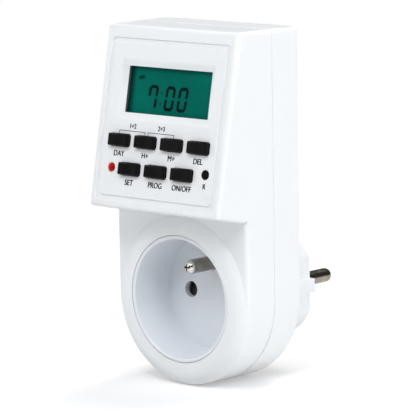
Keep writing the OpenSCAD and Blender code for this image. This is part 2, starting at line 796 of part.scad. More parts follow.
module board_screws() color("silver") on_panel()
    for (x = [-panel_post_x, panel_post_x], s = panel_post_s)
        translate([x, -s, -board_back]) mirror([0, 0, 1]) screw(0.9, 5, 1.9, 1.2);

module case_screws() color("silver")
    for (z = post_z, side = [-1, 1])
        translate([side * post_x, pocket_y, z]) rotate([-90, 0, 0])
            screw(screw_r, pocket_y - split_d + screw_deep, 2.6, 2);

module power_board_screws() color("silver")
    for (x = [-power_post[0], power_post[0]], z = [power_post[1], power_post[2]])
        translate([x, power_y, z]) rotate([90, 0, 0]) screw(1, 3.4, 2, 1.3);

// ---- Socket ----

module socket_insert() color(white) {
    rail_x = shutter_half_w + shutter_gap;
    rail_y = shutter_y + shutter_t + shutter_gap;
    rail_z = [-pad_top - beam_h - shutter_travel - 0.4, pad_top];
    difference() {
        turned([[0, recess_deep], [floor_r, recess_deep], [recess_r, 0.3], [recess_r + 0.3, 0],
                [cup_r - 0.2, 0], [cup_r, 0.2], [cup_r, face_in_y], [cup_flange_r, face_in_y],
                [cup_flange_r, face_in_y + cup_flange_t], [cup_r, face_in_y + cup_flange_t],
                [cup_r, floor_back_y], [0, floor_back_y]]);
        for (x = [-pin_x, pin_x])
            rod_y(x, 0, hole_d / 2, recess_deep - over, floor_back_y + over);
        rod_y(0, earth_up, collar_r + 0.05, recess_deep - over, floor_back_y + over);
    }
    // rails that hold the shutter's beam, and the seat of its spring
    for (side = [-1, 1]) mirror([side > 0 ? 0 : 1, 0, 0]) {
        block([rail_x, rail_x + 1.2], [floor_back_y - 0.1, rail_y + 0.8], rail_z);
        block([rail_x - 0.9, rail_x + 0.1], [rail_y, rail_y + 0.8], rail_z);
    }
    block([-2.4, 2.4], [floor_back_y - 0.1, spring_y + 1.4], [spring_seat_z - 1.6, spring_seat_z]);
    translate([0, spring_y, spring_seat_z - 0.1]) cylinder(h = peg_l + 0.1, r = peg_r);
}

module shutter() color("dimgray") {
    beam_z = [-pad_top - beam_h, -pad_top];
    block([-shutter_half_w, shutter_half_w], [shutter_y, shutter_y + shutter_t], beam_z);
    // wedges that the incoming pins push down
    for (x = [-pin_x, pin_x])
        translate([x, 0, 0]) along_x([[shutter_y, beam_z[0]], [shutter_y + 2.5, beam_z[0]],
                                      [shutter_y + 2.5, pad_top], [shutter_y, -pad_top]], 2 * pad_half_w);
    // lug and peg for the spring
    block([-2, 2], [shutter_y, spring_y + 1.2], beam_z);
    translate([0, spring_y, beam_z[0] - peg_l]) cylinder(h = peg_l + 0.1, r = peg_r);
}

// A coil spring along +Z: a round wire swept along a helix, with a ring of points every 30 degrees
module coil_spring(r, wire, height, turns) {
    sides = 8;
    rings = turns * 12;
    centre = [for (i = [0:rings]) let (t = 360 * turns * i / rings)
        [r * cos(t), r * sin(t), wire + (height - 2 * wire) * i / rings]];
    points = [for (i = [0:rings], k = [0:sides - 1])
        let (t = 360 * turns * i / rings, a = 360 * k / sides)
        centre[i] + wire * [cos(a) * cos(t), cos(a) * sin(t), sin(a)]];
    walls = [for (i = [0:rings - 1], k = [0:sides - 1])
        let (n = (k + 1) % sides, a = i * sides, b = a + sides)
        each [[a + k, b + n, b + k], [a + k, a + n, b + n]]];
    ends = [[for (k = [0:sides - 1]) sides - 1 - k], [for (k = [0:sides - 1]) rings * sides + k]];
    polyhedron(points, concat(walls, ends));
}

module shutter_spring() color("silver")
    translate([0, spring_y, spring_seat_z])
        coil_spring(spring_r, spring_wire_r, -pad_top - beam_h - spring_seat_z, spring_turns);

module contact(x) color(brass) difference() {
    union() {
        rod_y(x, 0, contact_out_r, contact_y, contact_back_y + 0.1);
        block([x - 3.6, x + 3.6], [contact_back_y, carrier_y], [-3.6, 8]);
    }
    rod_y(x, 0, contact_in_r, contact_y - over, contact_back_y);
    // slots that let the two halves spring apart
    block([x - 0.4, x + 0.4], [contact_y - over, contact_back_y - 4],
          [-contact_out_r - over, contact_out_r + over]);
}

module contact_line() contact(pin_x);

module contact_neutral() {
    contact(-pin_x);
    color(brass) rod_y(-pin_x, 0, 1.3, carrier_y - 0.1, root_y);
}

module contact_carrier() color("ivory") difference() {
    boss_section(cavity_r - fit, cavity_flat - fit, carrier_y, carrier_y + carrier_t);
    rod_y(-pin_x, 0, 1.3 + fit, carrier_y - over, carrier_y + carrier_t + over);
    rod_y(pin_x, line_wire_z, wire_r + fit, carrier_y - over, carrier_y + carrier_t + over);
    rod_y(0, earth_up, contact_out_r + fit, carrier_y - over, carrier_y + carrier_t + over);
    for (side = [-1, 1])
        block([-5, 5], [carrier_y - over, carrier_y + carrier_t + over],
              [side > 0 ? clip_pad_z - fit : -boss_r, side > 0 ? boss_r : fit - clip_pad_z]);
}

// A live pin of the plug: a round tip outside, a thicker root in the end wall and a flange inside
module plug_pin(x) color("silver") {
    tip_y = boss_end_y + pin_l - pin_r;
    rod_y(x, 0, pin_r, root_y, tip_y);
    translate([x, tip_y, 0]) sphere(pin_r);
    rod_y(x, 0, collar_r, root_y, boss_end_y);
    rod_y(x, 0, root_r, root_y, boss_in_y);
}

module plug_pin_line() plug_pin(pin_x);
module plug_pin_neutral() plug_pin(-pin_x);

module earth_pin() color("silver") difference() {
    tip_y = recess_deep - earth_l + pin_r;
    flange_back_y = floor_back_y + flange_plate;
    union() {
        translate([0, tip_y, earth_up]) sphere(pin_r);
        rod_y(0, earth_up, pin_r, tip_y, floor_back_y);
        rod_y(0, earth_up, collar_r, recess_deep, flange_back_y + 1);
        rod_y(0, earth_up, collar_r + 0.7, floor_back_y, flange_back_y);
    }
    // cross recess in the tip
    for (turn = [0, 90])
        translate([0, tip_y - pin_r, earth_up]) rotate([0, turn, 0])
            translate([-1.3, -over, -0.25]) cube([2.6, over + 1.1, 0.5]);
}

module earth_strap() color(brass) {
    front_y = floor_back_y + flange_plate + 1;
    bar_y = body_d + 0.6;
    foot_y = body_d + 5;
    block([-3.5, 3.5], [front_y, front_y + strip_t], [earth_up - 3.5, strap_z + strip_t]);
    block([-strip_half_w, strip_half_w], [front_y, foot_y], [strap_z, strap_z + strip_t]);
    block([-2.5, 2.5], [bar_y, bar_y + strip_t], [-strap_z - strip_t, strap_z + 0.1]);
    block([-strip_half_w, strip_half_w], [bar_y, foot_y], [-strap_z - strip_t, -strap_z]);
}

module earth_receptacle() color(brass) difference() {
    union() {
        rod_y(0, earth_up, contact_out_r, receptacle_y, boss_in_y);
        block([-3.5, 3.5], [receptacle_y, receptacle_y + 1.2], [earth_up - 3.5, strap_z]);
    }
    rod_y(0, earth_up, contact_in_r, receptacle_y + 1.2, boss_in_y + over);
    block([-0.4, 0.4], [receptacle_y + 3, boss_in_y + over], [earth_up - contact_out_r - over, earth_up]);
}

// A sprung earth strip in the top or the bottom of the plug body
module earth_clip() color(brass) {
    low = clip_z;
    first_y = body_d + 3.1;
    last_y = boss_end_y - 1.5;
    bow = 1;
    along_x([[first_y, strap_z + strip_t], [first_y + strip_t, strap_z + strip_t],
             [first_y + strip_t, low], [first_y + 3.5, low], [first_y + 6, low + bow],
             [last_y - 3, low + bow], [last_y, low], [last_y, low + 0.6],
             [last_y - 2.8, low + bow + 0.6], [first_y + 5.8, low + bow + 0.6],
             [first_y + 3.3, low + 0.6], [first_y, low + 0.6]], 2 * strip_half_w);
}

module earth_clip_top() earth_clip();
module earth_clip_bottom() mirror([0, 0, 1]) earth_clip();

// ---- Power board ----

// A frame on the power board: x across, y up, z out of its front
module on_power_board(x, z) translate([x, power_y, z]) rotate([90, 0, 0]) children();

module power_board() color("peru") difference() {
    block([-power_half_w, power_half_w], [power_y, power_y + board_t], power_z);
    for (x = [-power_post[0], power_post[0]], z = [power_post[1], power_post[2]])
        rod_y(x, z, 1.2, power_y - over, power_y + board_t + over);
}

module relay() color("royalblue") on_power_board(relay_x, tall_z) {
    stand = 0.4;
    translate([-relay_size[0] / 2, -relay_size[1] / 2, stand]) cube(relay_size);
    for (x = [-1, 1], y = [-2, 2.5])
        translate([x * (relay_size[0] / 2 - 1.7), y * relay_size[1] / 6.5, 0])
            cylinder(h = stand + 0.1, r = 0.6);
}

module film_capacitor() color("gold") on_power_board(film_x, tall_z)
    translate([-film_size[0] / 2, -film_size[1] / 2, 0]) cube(film_size);

module smoothing_capacitor() color("darkslateblue")
    on_power_board(power_half_w - can_r - 1.3, can_z) cylinder(h = can_l, r = can_r);

module varistor() color("steelblue") on_power_board(power_half_w - 4, tall_z - 3) {
    stand = 1.8;
    translate([-varistor_t / 2, 0, stand + varistor_r]) rotate([0, 90, 0])
        cylinder(h = varistor_t, r = varistor_r);
    for (y = [-varistor_r / 2, varistor_r / 2])
        translate([0, y, 0]) cylinder(h = stand + 1.7, r = 0.4);
}

// A small round component lying on the board between its two bent leads
module lying_part(x, z, r, length) on_power_board(x, z) {
    up = r + 0.4;
    reach = length / 2 + 1.6;
    translate([-length / 2, 0, up]) rotate([0, 90, 0]) cylinder(h = length, r = r);
    translate([-reach, 0, up]) rotate([0, 90, 0]) cylinder(h = 2 * reach, r = 0.35);
    for (side = [-1, 1]) {
        translate([side * reach, 0, 0]) cylinder(h = up, r = 0.35);
        translate([side * reach, 0, up]) sphere(0.35);
    }
}

module bridge_diodes() color("black")
    for (i = [0:3]) lying_part(6.2 - power_half_w, small_z + 4 * i, 1.3, 5.2);

module resistors() color("tan")
    for (i = [0:2]) lying_part(0, small_z + 1 + 5.5 * i, 1.8, 6.5);

module zener_diode() color("orangered")
    lying_part(power_half_w - 6, can_z + can_r + 3.4, 1, 4);

module transistor() color("black") on_power_board(power_half_w - 7, small_z + 12) {
    translate([0, 0, 3]) intersection() {
        cylinder(h = 4.6, r = 2.3);
        translate([-3, -1.2, 0]) cube([6, 6, 5]);
    }
    for (x = [-1.27, 0, 1.27]) translate([x, 0, 0]) cylinder(h = 3.1, r = 0.25);
}

// A round insulated wire along points [x, y, z]
module wire(points) {
    for (i = [0:len(points) - 2]) {
        along = points[i + 1] - points[i];
        translate(points[i]) rotate([0, acos(along[2] / norm(along)), atan2(along[1], along[0])])
            cylinder(h = norm(along), r = wire_r);
    }
    for (i = [1:len(points) - 2]) translate(points[i]) sphere(wire_r + 0.1);
}

// The way of a wire from behind the socket up to the power board
function wire_up(x0, x1) = [
    [x0, wire_turn_y, 20], [x1, power_y - 2.4, power_z[0] - 1], [x1, power_y - 2.4, solder_z],
    [x1, power_y, solder_z]
];

module wire_line_in() color("saddlebrown") {
    behind_y = (carrier_y + carrier_t + root_y) / 2;
    wire(concat([[pin_x, root_y, 0], [pin_x, behind_y, 0], [pin_x, behind_y, line_wire_z],
                 [pin_x, wire_turn_y, line_wire_z]], wire_up(pin_x, power_post[0] - 3.5)));
}

// A wire from a contact's plate, at x0, to the power board
module contact_wire(x0, x1, x2)
    wire(concat([[x0, contact_back_y, 5.9], [x0, contact_back_y - 5, 5.9],
                 [x1, wire_turn_y, line_wire_z - 0.4]], wire_up(x1, x2)));

module wire_line_out() color("black")
    contact_wire(pin_x, pin_x - wire_side, pin_x - wire_side);

module wire_neutral() color("royalblue") contact_wire(-pin_x, -pin_x, 0.5 - pin_x);

placed() front_cover();
placed() rear_cover();
placed() control_panel();
placed() display_window();
placed() lcd_glass();
placed() lcd_holder();
placed() zebra_strips();
placed() logic_board();
placed() chip_cover();
placed() timing_crystal();
placed() backup_battery();
placed() ribbon_cable();
placed() key_mat();
placed() key_weekday();
placed() key_hour();
placed() key_minute();
placed() key_clear();
placed() key_clock();
placed() key_program();
placed() key_mode();
placed() reset_button();
placed() pill_weekday();
placed() pill_hour();
placed() pill_minute();
placed() pill_clear();
placed() pill_clock();
placed() pill_program();
placed() pill_mode();
placed() pill_reset();
placed() status_led();
placed() board_screws();
placed() socket_insert();
placed() shutter();
placed() shutter_spring();
placed() contact_line();
placed() contact_neutral();
placed() contact_carrier();
placed() plug_pin_line();
placed() plug_pin_neutral();
placed() earth_pin();
placed() earth_strap();
placed() earth_receptacle();
placed() earth_clip_top();
placed() earth_clip_bottom();
placed() power_board();
placed() relay();
placed() film_capacitor();
placed() smoothing_capacitor();
placed() varistor();
placed() bridge_diodes();
placed() resistors();
placed() zener_diode();
placed() transistor();
placed() wire_line_in();
placed() wire_line_out();
placed() wire_neutral();
placed() case_screws();
placed() power_board_screws();
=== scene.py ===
# %% [markdown]
# # A plug-in timer switch
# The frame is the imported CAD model: every solid is already in its place, in metres.
# This script dresses it. It gives each solid a finish, and where the eye needs a softer edge or a
# printed mark it adds a piece of its own, which rides on the same body as the solid below it.

# %% Load the frame
import math

import bmesh
import bpy
from mathutils import Matrix, Vector


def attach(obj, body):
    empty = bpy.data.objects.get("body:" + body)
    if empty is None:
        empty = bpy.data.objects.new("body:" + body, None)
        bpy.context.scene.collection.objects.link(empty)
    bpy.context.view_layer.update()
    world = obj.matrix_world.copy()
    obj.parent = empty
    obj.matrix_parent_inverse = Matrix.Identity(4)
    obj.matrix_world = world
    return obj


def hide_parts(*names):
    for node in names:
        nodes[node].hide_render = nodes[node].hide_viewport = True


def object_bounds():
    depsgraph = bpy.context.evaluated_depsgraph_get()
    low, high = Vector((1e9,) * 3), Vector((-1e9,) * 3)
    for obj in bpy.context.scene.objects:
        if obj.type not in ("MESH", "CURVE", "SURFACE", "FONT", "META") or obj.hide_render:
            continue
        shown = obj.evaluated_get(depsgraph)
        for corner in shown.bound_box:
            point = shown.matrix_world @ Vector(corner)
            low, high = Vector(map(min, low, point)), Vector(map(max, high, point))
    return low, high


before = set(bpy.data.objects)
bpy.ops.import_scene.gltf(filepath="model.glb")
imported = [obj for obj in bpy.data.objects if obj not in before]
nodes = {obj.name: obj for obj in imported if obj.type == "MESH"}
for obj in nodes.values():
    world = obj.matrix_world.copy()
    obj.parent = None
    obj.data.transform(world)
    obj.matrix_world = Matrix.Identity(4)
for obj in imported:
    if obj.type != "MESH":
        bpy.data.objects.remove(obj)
cad_low, cad_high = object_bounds()
MM = 0.001

# %% [markdown]
# ## Where things are
# The origin is on the end face of the plug body, midway between the pins. The display panel leans
# back, so a small matrix turns panel places into that frame: x across, s down the slope from the
# head's upper edge, w out of the panel's face. All three are written in millimetres, as are the
# sizes below, which are those of the solids.

# %% Sizes that the pieces share
BODY_DEPTH = 28.0
BOSS_LENGTH = 18.8
SOCKET_Y = -(BODY_DEPTH + BOSS_LENGTH)
TOP_Z = 89.7
TILT = math.radians(11)
PANEL_TOP_Y = 60.4 * math.sin(TILT) - 12.5
PLATE_W, PLATE_TOP, PLATE_END = 52.0, 4.2, 57.6
PLATE_MID_S = (PLATE_TOP + PLATE_END) / 2
GROOVE_W, JOINT = 1.3, 0.3
WINDOW_W, WINDOW_TOP, WINDOW_END, WINDOW_BEVEL = 36.5, 13.1, 28.5, 2.1
GLASS_W, INK_RISE = -3.0, 0.02
KEY_W, KEY_H, KEY_RISE, KEY_PITCH = 8.7, 4.1, 2.0, 11.6
ROW_1, ROW_2 = 37.85, 47.1
PANEL_THICK = 2.2
CUP_R, CUP_DEEP = 20.0, 16.5
PIN_R, EARTH_UP, EARTH_LENGTH = 2.4, 10.0, 12.7
SCREW_R = 1.4
KEY_PLACES = {
    "weekday": (-1.5 * KEY_PITCH, ROW_1), "hour": (-0.5 * KEY_PITCH, ROW_1),
    "minute": (0.5 * KEY_PITCH, ROW_1), "clear": (1.5 * KEY_PITCH, ROW_1),
    "clock": (-KEY_PITCH, ROW_2), "program": (0.0, ROW_2), "mode": (KEY_PITCH, ROW_2),
}
RESET_AT = (21.2, 46.2)
PANEL = Matrix.Translation(Vector((0, (PANEL_TOP_Y + SOCKET_Y) * MM, TOP_Z * MM))) \
    @ Matrix.Rotation(math.radians(90) - TILT, 4, "X")
UNPANEL = PANEL.inverted()
PANEL_NORMAL = PANEL.to_3x3().col[2]
print("the panel looks along", [round(v, 3) for v in PANEL_NORMAL])

# %% [markdown]
# ## The camera
# It stands a good metre away with a long lens, a little above the timer and well to its right, so
# that the front and one side both show and upright edges stay nearly parallel.

# %% Camera
CAMERA_AT = Vector((0.6945434, -0.8077620, 0.1916366))
CAMERA_YAW, CAMERA_PITCH, CAMERA_ROLL = 0.73009424, 0.15535634, -0.01589038
SENSOR_MM, PICTURE_PIXELS, FOCAL_PIXELS = 36, 416, 3177.7075
forward = Vector((-math.sin(CAMERA_YAW) * math.cos(CAMERA_PITCH),
                  math.cos(CAMERA_YAW) * math.cos(CAMERA_PITCH), -math.sin(CAMERA_PITCH)))
level_right = Vector((math.cos(CAMERA_YAW), math.sin(CAMERA_YAW), 0))
level_up = level_right.cross(forward)
right = level_right * math.cos(CAMERA_ROLL) + level_up * math.sin(CAMERA_ROLL)
up = level_up * math.cos(CAMERA_ROLL) - level_right * math.sin(CAMERA_ROLL)
camera = bpy.data.objects.new("camera", bpy.data.cameras.new("camera"))
bpy.context.scene.collection.objects.link(camera)
camera.matrix_world = Matrix((
    (right.x, up.x, -forward.x, CAMERA_AT.x),
    (right.y, up.y, -forward.y, CAMERA_AT.y),
    (right.z, up.z, -forward.z, CAMERA_AT.z),
    (0, 0, 0, 1)))
camera.data.sensor_width = SENSOR_MM
camera.data.lens = FOCAL_PIXELS / PICTURE_PIXELS * SENSOR_MM
camera.data.clip_start, camera.data.clip_end = 0.05, 20
bpy.context.scene.camera = camera
print("lens:", round(camera.data.lens, 1), "mm")

# %% [markdown]
# ## Finishes
# A finish that several materials share is a shader node group: it is built once, and each material
# places it with its own values. The group only works out masks and heights. The shader itself
# stays in the material.

# %% Node helpers
NOISE_RANGE = {"From Min": 0.3, "From Max": 0.7}


def add_node(tree, kind, values=None, **settings):
    """A new node, with its settings and the values of its unlinked inputs."""
    node = tree.nodes.new(kind)
    for name, value in settings.items():
        setattr(node, name, value)
    for name, value in (values or {}).items():
        node.inputs[name].default_value = value
    return node


def new_group(name, kind, inputs, outputs):
    """An empty node group with its named sockets, and its two end nodes."""
    tree = bpy.data.node_groups.new(name, kind)
    for label, socket, value in inputs:
        made = tree.interface.new_socket(label, in_out="INPUT", socket_type=socket)
        if value is not None:
            made.default_value = value
    for label, socket in outputs:
        tree.interface.new_socket(label, in_out="OUTPUT", socket_type=socket)
    return tree, tree.nodes.new("NodeGroupInput"), tree.nodes.new("NodeGroupOutput")


def feed(tree, node, *operands):
    """Gives a node's first inputs their values. Each is a number or the socket that gives it."""
    for socket, operand in zip(node.inputs, operands):
        if isinstance(operand, (int, float)):
            socket.default_value = operand
        else:
            tree.links.new(operand, socket)
    return node.outputs[0]


def maths(tree, operation, first, second=0.0):
    """The result of a maths node."""
    return feed(tree, add_node(tree, "ShaderNodeMath", operation=operation), first, second)


def squared(tree, value):
    """The square of a socket's value."""
    return maths(tree, "POWER", maths(tree, "ABSOLUTE", value), 2.0)


def vector(tree, x, y, z):
    """A vector of three numbers or sockets."""
    return feed(tree, add_node(tree, "ShaderNodeCombineXYZ"), x, y, z)


# %% Shared effect: moulded surface


def moulded_surface_group():
    """Fine spark-eroded grain, and slow patches where a surface is a little more polished."""
    tree, start, end = new_group(
        "moulded_surface", "ShaderNodeTree",
        [("Grain Size", "NodeSocketFloat", 0.0003), ("Patch Size", "NodeSocketFloat", 0.02),
         ("Rough Low", "NodeSocketFloat", 0.3), ("Rough High", "NodeSocketFloat", 0.4)],
        [("Height", "NodeSocketFloat"), ("Roughness", "NodeSocketFloat"),
         ("Patch", "NodeSocketFloat")])
    place = add_node(tree, "ShaderNodeTexCoord")
    link = tree.links.new
    fine = add_node(tree, "ShaderNodeTexNoise", {"Detail": 3.0, "Roughness": 0.6})
    slow = add_node(tree, "ShaderNodeTexNoise", {"Detail": 2.0, "Roughness": 0.5})
    for noise, size in ((fine, "Grain Size"), (slow, "Patch Size")):
        link(maths(tree, "DIVIDE", 1.0, start.outputs[size]), noise.inputs["Scale"])
        link(place.outputs["Object"], noise.inputs["Vector"])
    spread = add_node(tree, "ShaderNodeMapRange", NOISE_RANGE)
    link(slow.outputs["Fac"], spread.inputs["Value"])
    rough = add_node(tree, "ShaderNodeMapRange")
    link(spread.outputs["Result"], rough.inputs["Value"])
    link(start.outputs["Rough Low"], rough.inputs["To Min"])
    link(start.outputs["Rough High"], rough.inputs["To Max"])
    link(fine.outputs["Fac"], end.inputs["Height"])
    link(rough.outputs["Result"], end.inputs["Roughness"])
    link(spread.outputs["Result"], end.inputs["Patch"])
    return tree


MOULDED = moulded_surface_group()
print("group:", MOULDED.name)

# %% Shared effect: drawn metal


def drawn_metal_group():
    """Fine scratches that run along Y, as a pin has from drawing and from use."""
    tree, start, end = new_group(
        "drawn_metal", "ShaderNodeTree",
        [("Scratch Size", "NodeSocketFloat", 0.0004), ("Length", "NodeSocketFloat", 12.0)],
        [("Height", "NodeSocketFloat"), ("Dull", "NodeSocketFloat")])
    link = tree.links.new
    place = add_node(tree, "ShaderNodeTexCoord")
    split = add_node(tree, "ShaderNodeSeparateXYZ")
    noise = add_node(tree, "ShaderNodeTexNoise", {"Detail": 4.0, "Roughness": 0.65})
    stains = add_node(tree, "ShaderNodeTexNoise", {"Scale": 260.0, "Detail": 3.0})
    link(place.outputs["Object"], split.inputs[0])
    along = maths(tree, "DIVIDE", split.outputs["Y"], start.outputs["Length"])
    link(vector(tree, split.outputs["X"], along, split.outputs["Z"]), noise.inputs["Vector"])
    link(maths(tree, "DIVIDE", 1.0, start.outputs["Scratch Size"]), noise.inputs["Scale"])
    link(place.outputs["Object"], stains.inputs["Vector"])
    link(noise.outputs["Fac"], end.inputs["Height"])
    link(stains.outputs["Fac"], end.inputs["Dull"])
    return tree


METAL_GRAIN = drawn_metal_group()
print("group:", METAL_GRAIN.name)

# %% [markdown]
# ## Materials
# Moulded plastic is never one flat tone. Its colour drifts a little with wall thickness, and its
# gloss with wear, so each plastic mixes two near colours by the group's slow patches and takes its
# roughness and bump from the same group.

# %% Plastic


def new_material(name):
    """A node material with its Principled shader, ready for links."""
    material = bpy.data.materials.new(name)
    material.use_nodes = True
    tree = material.node_tree
    shader = tree.nodes["Principled BSDF"]
    return material, tree, shader


def plastic(name, light, dark, rough, bump=0.02, patch=0.02, **sockets):
    """A moulded plastic between two near colours (linear RGB)."""
    material, tree, shader = new_material(name)
    link = tree.links.new
    group = add_node(tree, "ShaderNodeGroup", node_tree=MOULDED)
    group.inputs["Patch Size"].default_value = patch
    group.inputs["Rough Low"].default_value, group.inputs["Rough High"].default_value = rough
    mix = add_node(tree, "ShaderNodeMix", data_type="RGBA")
    mix.inputs["A"].default_value = (*light, 1)
    mix.inputs["B"].default_value = (*dark, 1)
    relief = add_node(tree, "ShaderNodeBump", {"Strength": bump, "Distance": 0.0001})
    link(group.outputs["Patch"], mix.inputs["Factor"])
    link(mix.outputs["Result"], shader.inputs["Base Color"])
    link(group.outputs["Roughness"], shader.inputs["Roughness"])
    link(group.outputs["Height"], relief.inputs["Height"])
    link(relief.outputs["Normal"], shader.inputs["Normal"])
    for socket, value in sockets.items():
        shader.inputs[socket.replace("_", " ")].default_value = value
    return material


CASE_WHITE = plastic("case_white", (0.86, 0.885, 0.905), (0.85, 0.875, 0.897), (0.3, 0.36),
                     bump=0.05, patch=0.05)
INSERT_WHITE = plastic("insert_white", (0.80, 0.835, 0.88), (0.78, 0.815, 0.86), (0.36, 0.44))
KEY_BLACK = plastic("key_black", (0.003, 0.0025, 0.003), (0.005, 0.0045, 0.005), (0.26, 0.34),
                    bump=0.1, Specular_IOR_Level=0.12)
# Black print, which also serves as painted shade in the earth pin's cross recess.
INK_AND_SHADE_BLACK = plastic("ink_and_shade_black", (0.012, 0.012, 0.013), (0.02, 0.02, 0.022), (0.55, 0.65),
                    Specular_IOR_Level=0.1)
DISPLAY_INK = plastic("display_ink", (0.002, 0.006, 0.008), (0.003, 0.009, 0.011), (0.5, 0.6),
                      Specular_IOR_Level=0.02)
GREY_PLASTIC = plastic("grey_plastic", (0.20, 0.21, 0.22), (0.16, 0.17, 0.18), (0.45, 0.55))
SHUTTER_GREY = plastic("shutter_grey", (0.035, 0.036, 0.04), (0.025, 0.026, 0.03), (0.4, 0.5))
RELAY_BLUE = plastic("relay_blue", (0.01, 0.05, 0.22), (0.008, 0.04, 0.18), (0.35, 0.45))
FILM_YELLOW = plastic("film_yellow", (0.75, 0.52, 0.03), (0.66, 0.44, 0.02), (0.35, 0.45))
CREAM = plastic("cream_plastic", (0.76, 0.72, 0.58), (0.70, 0.66, 0.52), (0.45, 0.55))
BLACK_RESIN = plastic("black_resin", (0.012, 0.012, 0.013), (0.02, 0.02, 0.02), (0.5, 0.7))
BLUE_RESIN = plastic("blue_resin", (0.02, 0.09, 0.28), (0.015, 0.07, 0.22), (0.4, 0.5))
TAN_RESIN = plastic("tan_resin", (0.55, 0.36, 0.16), (0.48, 0.31, 0.13), (0.4, 0.5))
ORANGE_GLASS = plastic("orange_glass", (0.62, 0.12, 0.02), (0.5, 0.09, 0.02), (0.15, 0.2))
MAT_RUBBER = plastic("mat_rubber", (0.55, 0.56, 0.55), (0.50, 0.51, 0.50), (0.6, 0.7))
PILL_RUBBER = plastic("pill_rubber", (0.01, 0.01, 0.01), (0.02, 0.02, 0.02), (0.7, 0.8))
BOARD_GREEN = plastic("board_green", (0.01, 0.10, 0.035), (0.008, 0.08, 0.028), (0.3, 0.4))
BOARD_BROWN = plastic("board_brown", (0.40, 0.24, 0.10), (0.34, 0.20, 0.08), (0.5, 0.6))
WIRE_BROWN = plastic("wire_brown", (0.11, 0.04, 0.015), (0.09, 0.03, 0.012), (0.4, 0.5))
WIRE_BLACK = plastic("wire_black", (0.012, 0.012, 0.012), (0.02, 0.02, 0.02), (0.4, 0.5))
WIRE_BLUE = plastic("wire_blue", (0.01, 0.05, 0.35), (0.008, 0.04, 0.3), (0.4, 0.5))
print("plastics:", len(bpy.data.materials))

# %% [markdown]
# Metal gets its colour from reflection, so its base colour is the reflection's tint. Nickel pins
# look warm grey-brown because they mirror the room and are lightly tarnished.

# %% Metal


def metal(name, clean, tarnished, rough):
    """A drawn metal that is tarnished in patches."""
    material, tree, shader = new_material(name)
    link = tree.links.new
    group = add_node(tree, "ShaderNodeGroup", node_tree=METAL_GRAIN)
    spread = add_node(tree, "ShaderNodeMapRange", {"From Min": 0.35, "From Max": 0.7})
    mix = add_node(tree, "ShaderNodeMix", data_type="RGBA")
    mix.inputs["A"].default_value = (*clean, 1)
    mix.inputs["B"].default_value = (*tarnished, 1)
    dull = add_node(tree, "ShaderNodeMapRange", {"To Min": rough[0], "To Max": rough[1]})
    relief = add_node(tree, "ShaderNodeBump", {"Strength": 0.05, "Distance": 0.00005})
    link(group.outputs["Dull"], spread.inputs["Value"])
    link(spread.outputs["Result"], mix.inputs["Factor"])
    link(mix.outputs["Result"], shader.inputs["Base Color"])
    link(spread.outputs["Result"], dull.inputs["Value"])
    link(dull.outputs["Result"], shader.inputs["Roughness"])
    link(group.outputs["Height"], relief.inputs["Height"])
    link(relief.outputs["Normal"], shader.inputs["Normal"])
    shader.inputs["Metallic"].default_value = 1.0
    return material


NICKEL = metal("nickel", (0.35, 0.315, 0.265), (0.26, 0.23, 0.19), (0.17, 0.26))
NICKEL_BRIGHT = metal("nickel_bright", (0.80, 0.77, 0.71), (0.62, 0.59, 0.53), (0.14, 0.24))
STEEL = metal("zinc_steel", (0.56, 0.56, 0.57), (0.42, 0.42, 0.43), (0.25, 0.4))
BRASS = metal("brass", (0.62, 0.42, 0.14), (0.48, 0.31, 0.10), (0.25, 0.4))
print("metals:", [m.name for m in (NICKEL, NICKEL_BRIGHT, STEEL, BRASS)])

# %% [markdown]
# The display is a sheet of green-blue polariser behind glass. Its colour is darker along its left
# and its upper edge: painted shade, for the shade under the window's lip. It has almost no gloss.
# The pane in front is nearly invisible: it dims the display a little and has a faint gloss.

# %% Display film, pane and light
FILM_LEFT_SHADE, FILM_TOP_SHADE = (-0.0178, -0.0155), (0.0771, 0.0752)


def display_film():
    """Teal film with a slow drift of tone, and painted shade along its left and upper edges."""
    material, tree, shader = new_material("display_film")
    link = tree.links.new
    place = add_node(tree, "ShaderNodeTexCoord")
    noise = add_node(tree, "ShaderNodeTexNoise", {"Scale": 45.0, "Detail": 2.0})
    spread = add_node(tree, "ShaderNodeMapRange", NOISE_RANGE)
    mix = add_node(tree, "ShaderNodeMix", data_type="RGBA")
    mix.inputs["A"].default_value = (0.0, 0.190, 0.140, 1)
    mix.inputs["B"].default_value = (0.0, 0.140, 0.108, 1)
    # Painted shade: the film's colour darkens towards its left and upper edges, for the window
    # lip's shade.
    split = add_node(tree, "ShaderNodeSeparateXYZ")
    both = add_node(tree, "ShaderNodeMath", operation="MULTIPLY")
    border = add_node(tree, "ShaderNodeMix", data_type="RGBA")
    border.inputs["A"].default_value = (0.0, 0.045, 0.04, 1)
    for index, (axis, (dark, clear)) in enumerate((("X", FILM_LEFT_SHADE), ("Z", FILM_TOP_SHADE))):
        edge = add_node(tree, "ShaderNodeMapRange", {"From Min": dark, "From Max": clear},
                        interpolation_type="SMOOTHSTEP")
        link(split.outputs[axis], edge.inputs["Value"])
        link(edge.outputs["Result"], both.inputs[index])
    link(place.outputs["Object"], split.inputs[0])
    link(place.outputs["Object"], noise.inputs["Vector"])
    link(noise.outputs["Fac"], spread.inputs["Value"])
    link(spread.outputs["Result"], mix.inputs["Factor"])
    link(both.outputs[0], border.inputs["Factor"])
    link(mix.outputs["Result"], border.inputs["B"])
    link(border.outputs["Result"], shader.inputs["Base Color"])
    shader.inputs["Roughness"].default_value = 0.5
    shader.inputs["Specular IOR Level"].default_value = 0.02
    return material


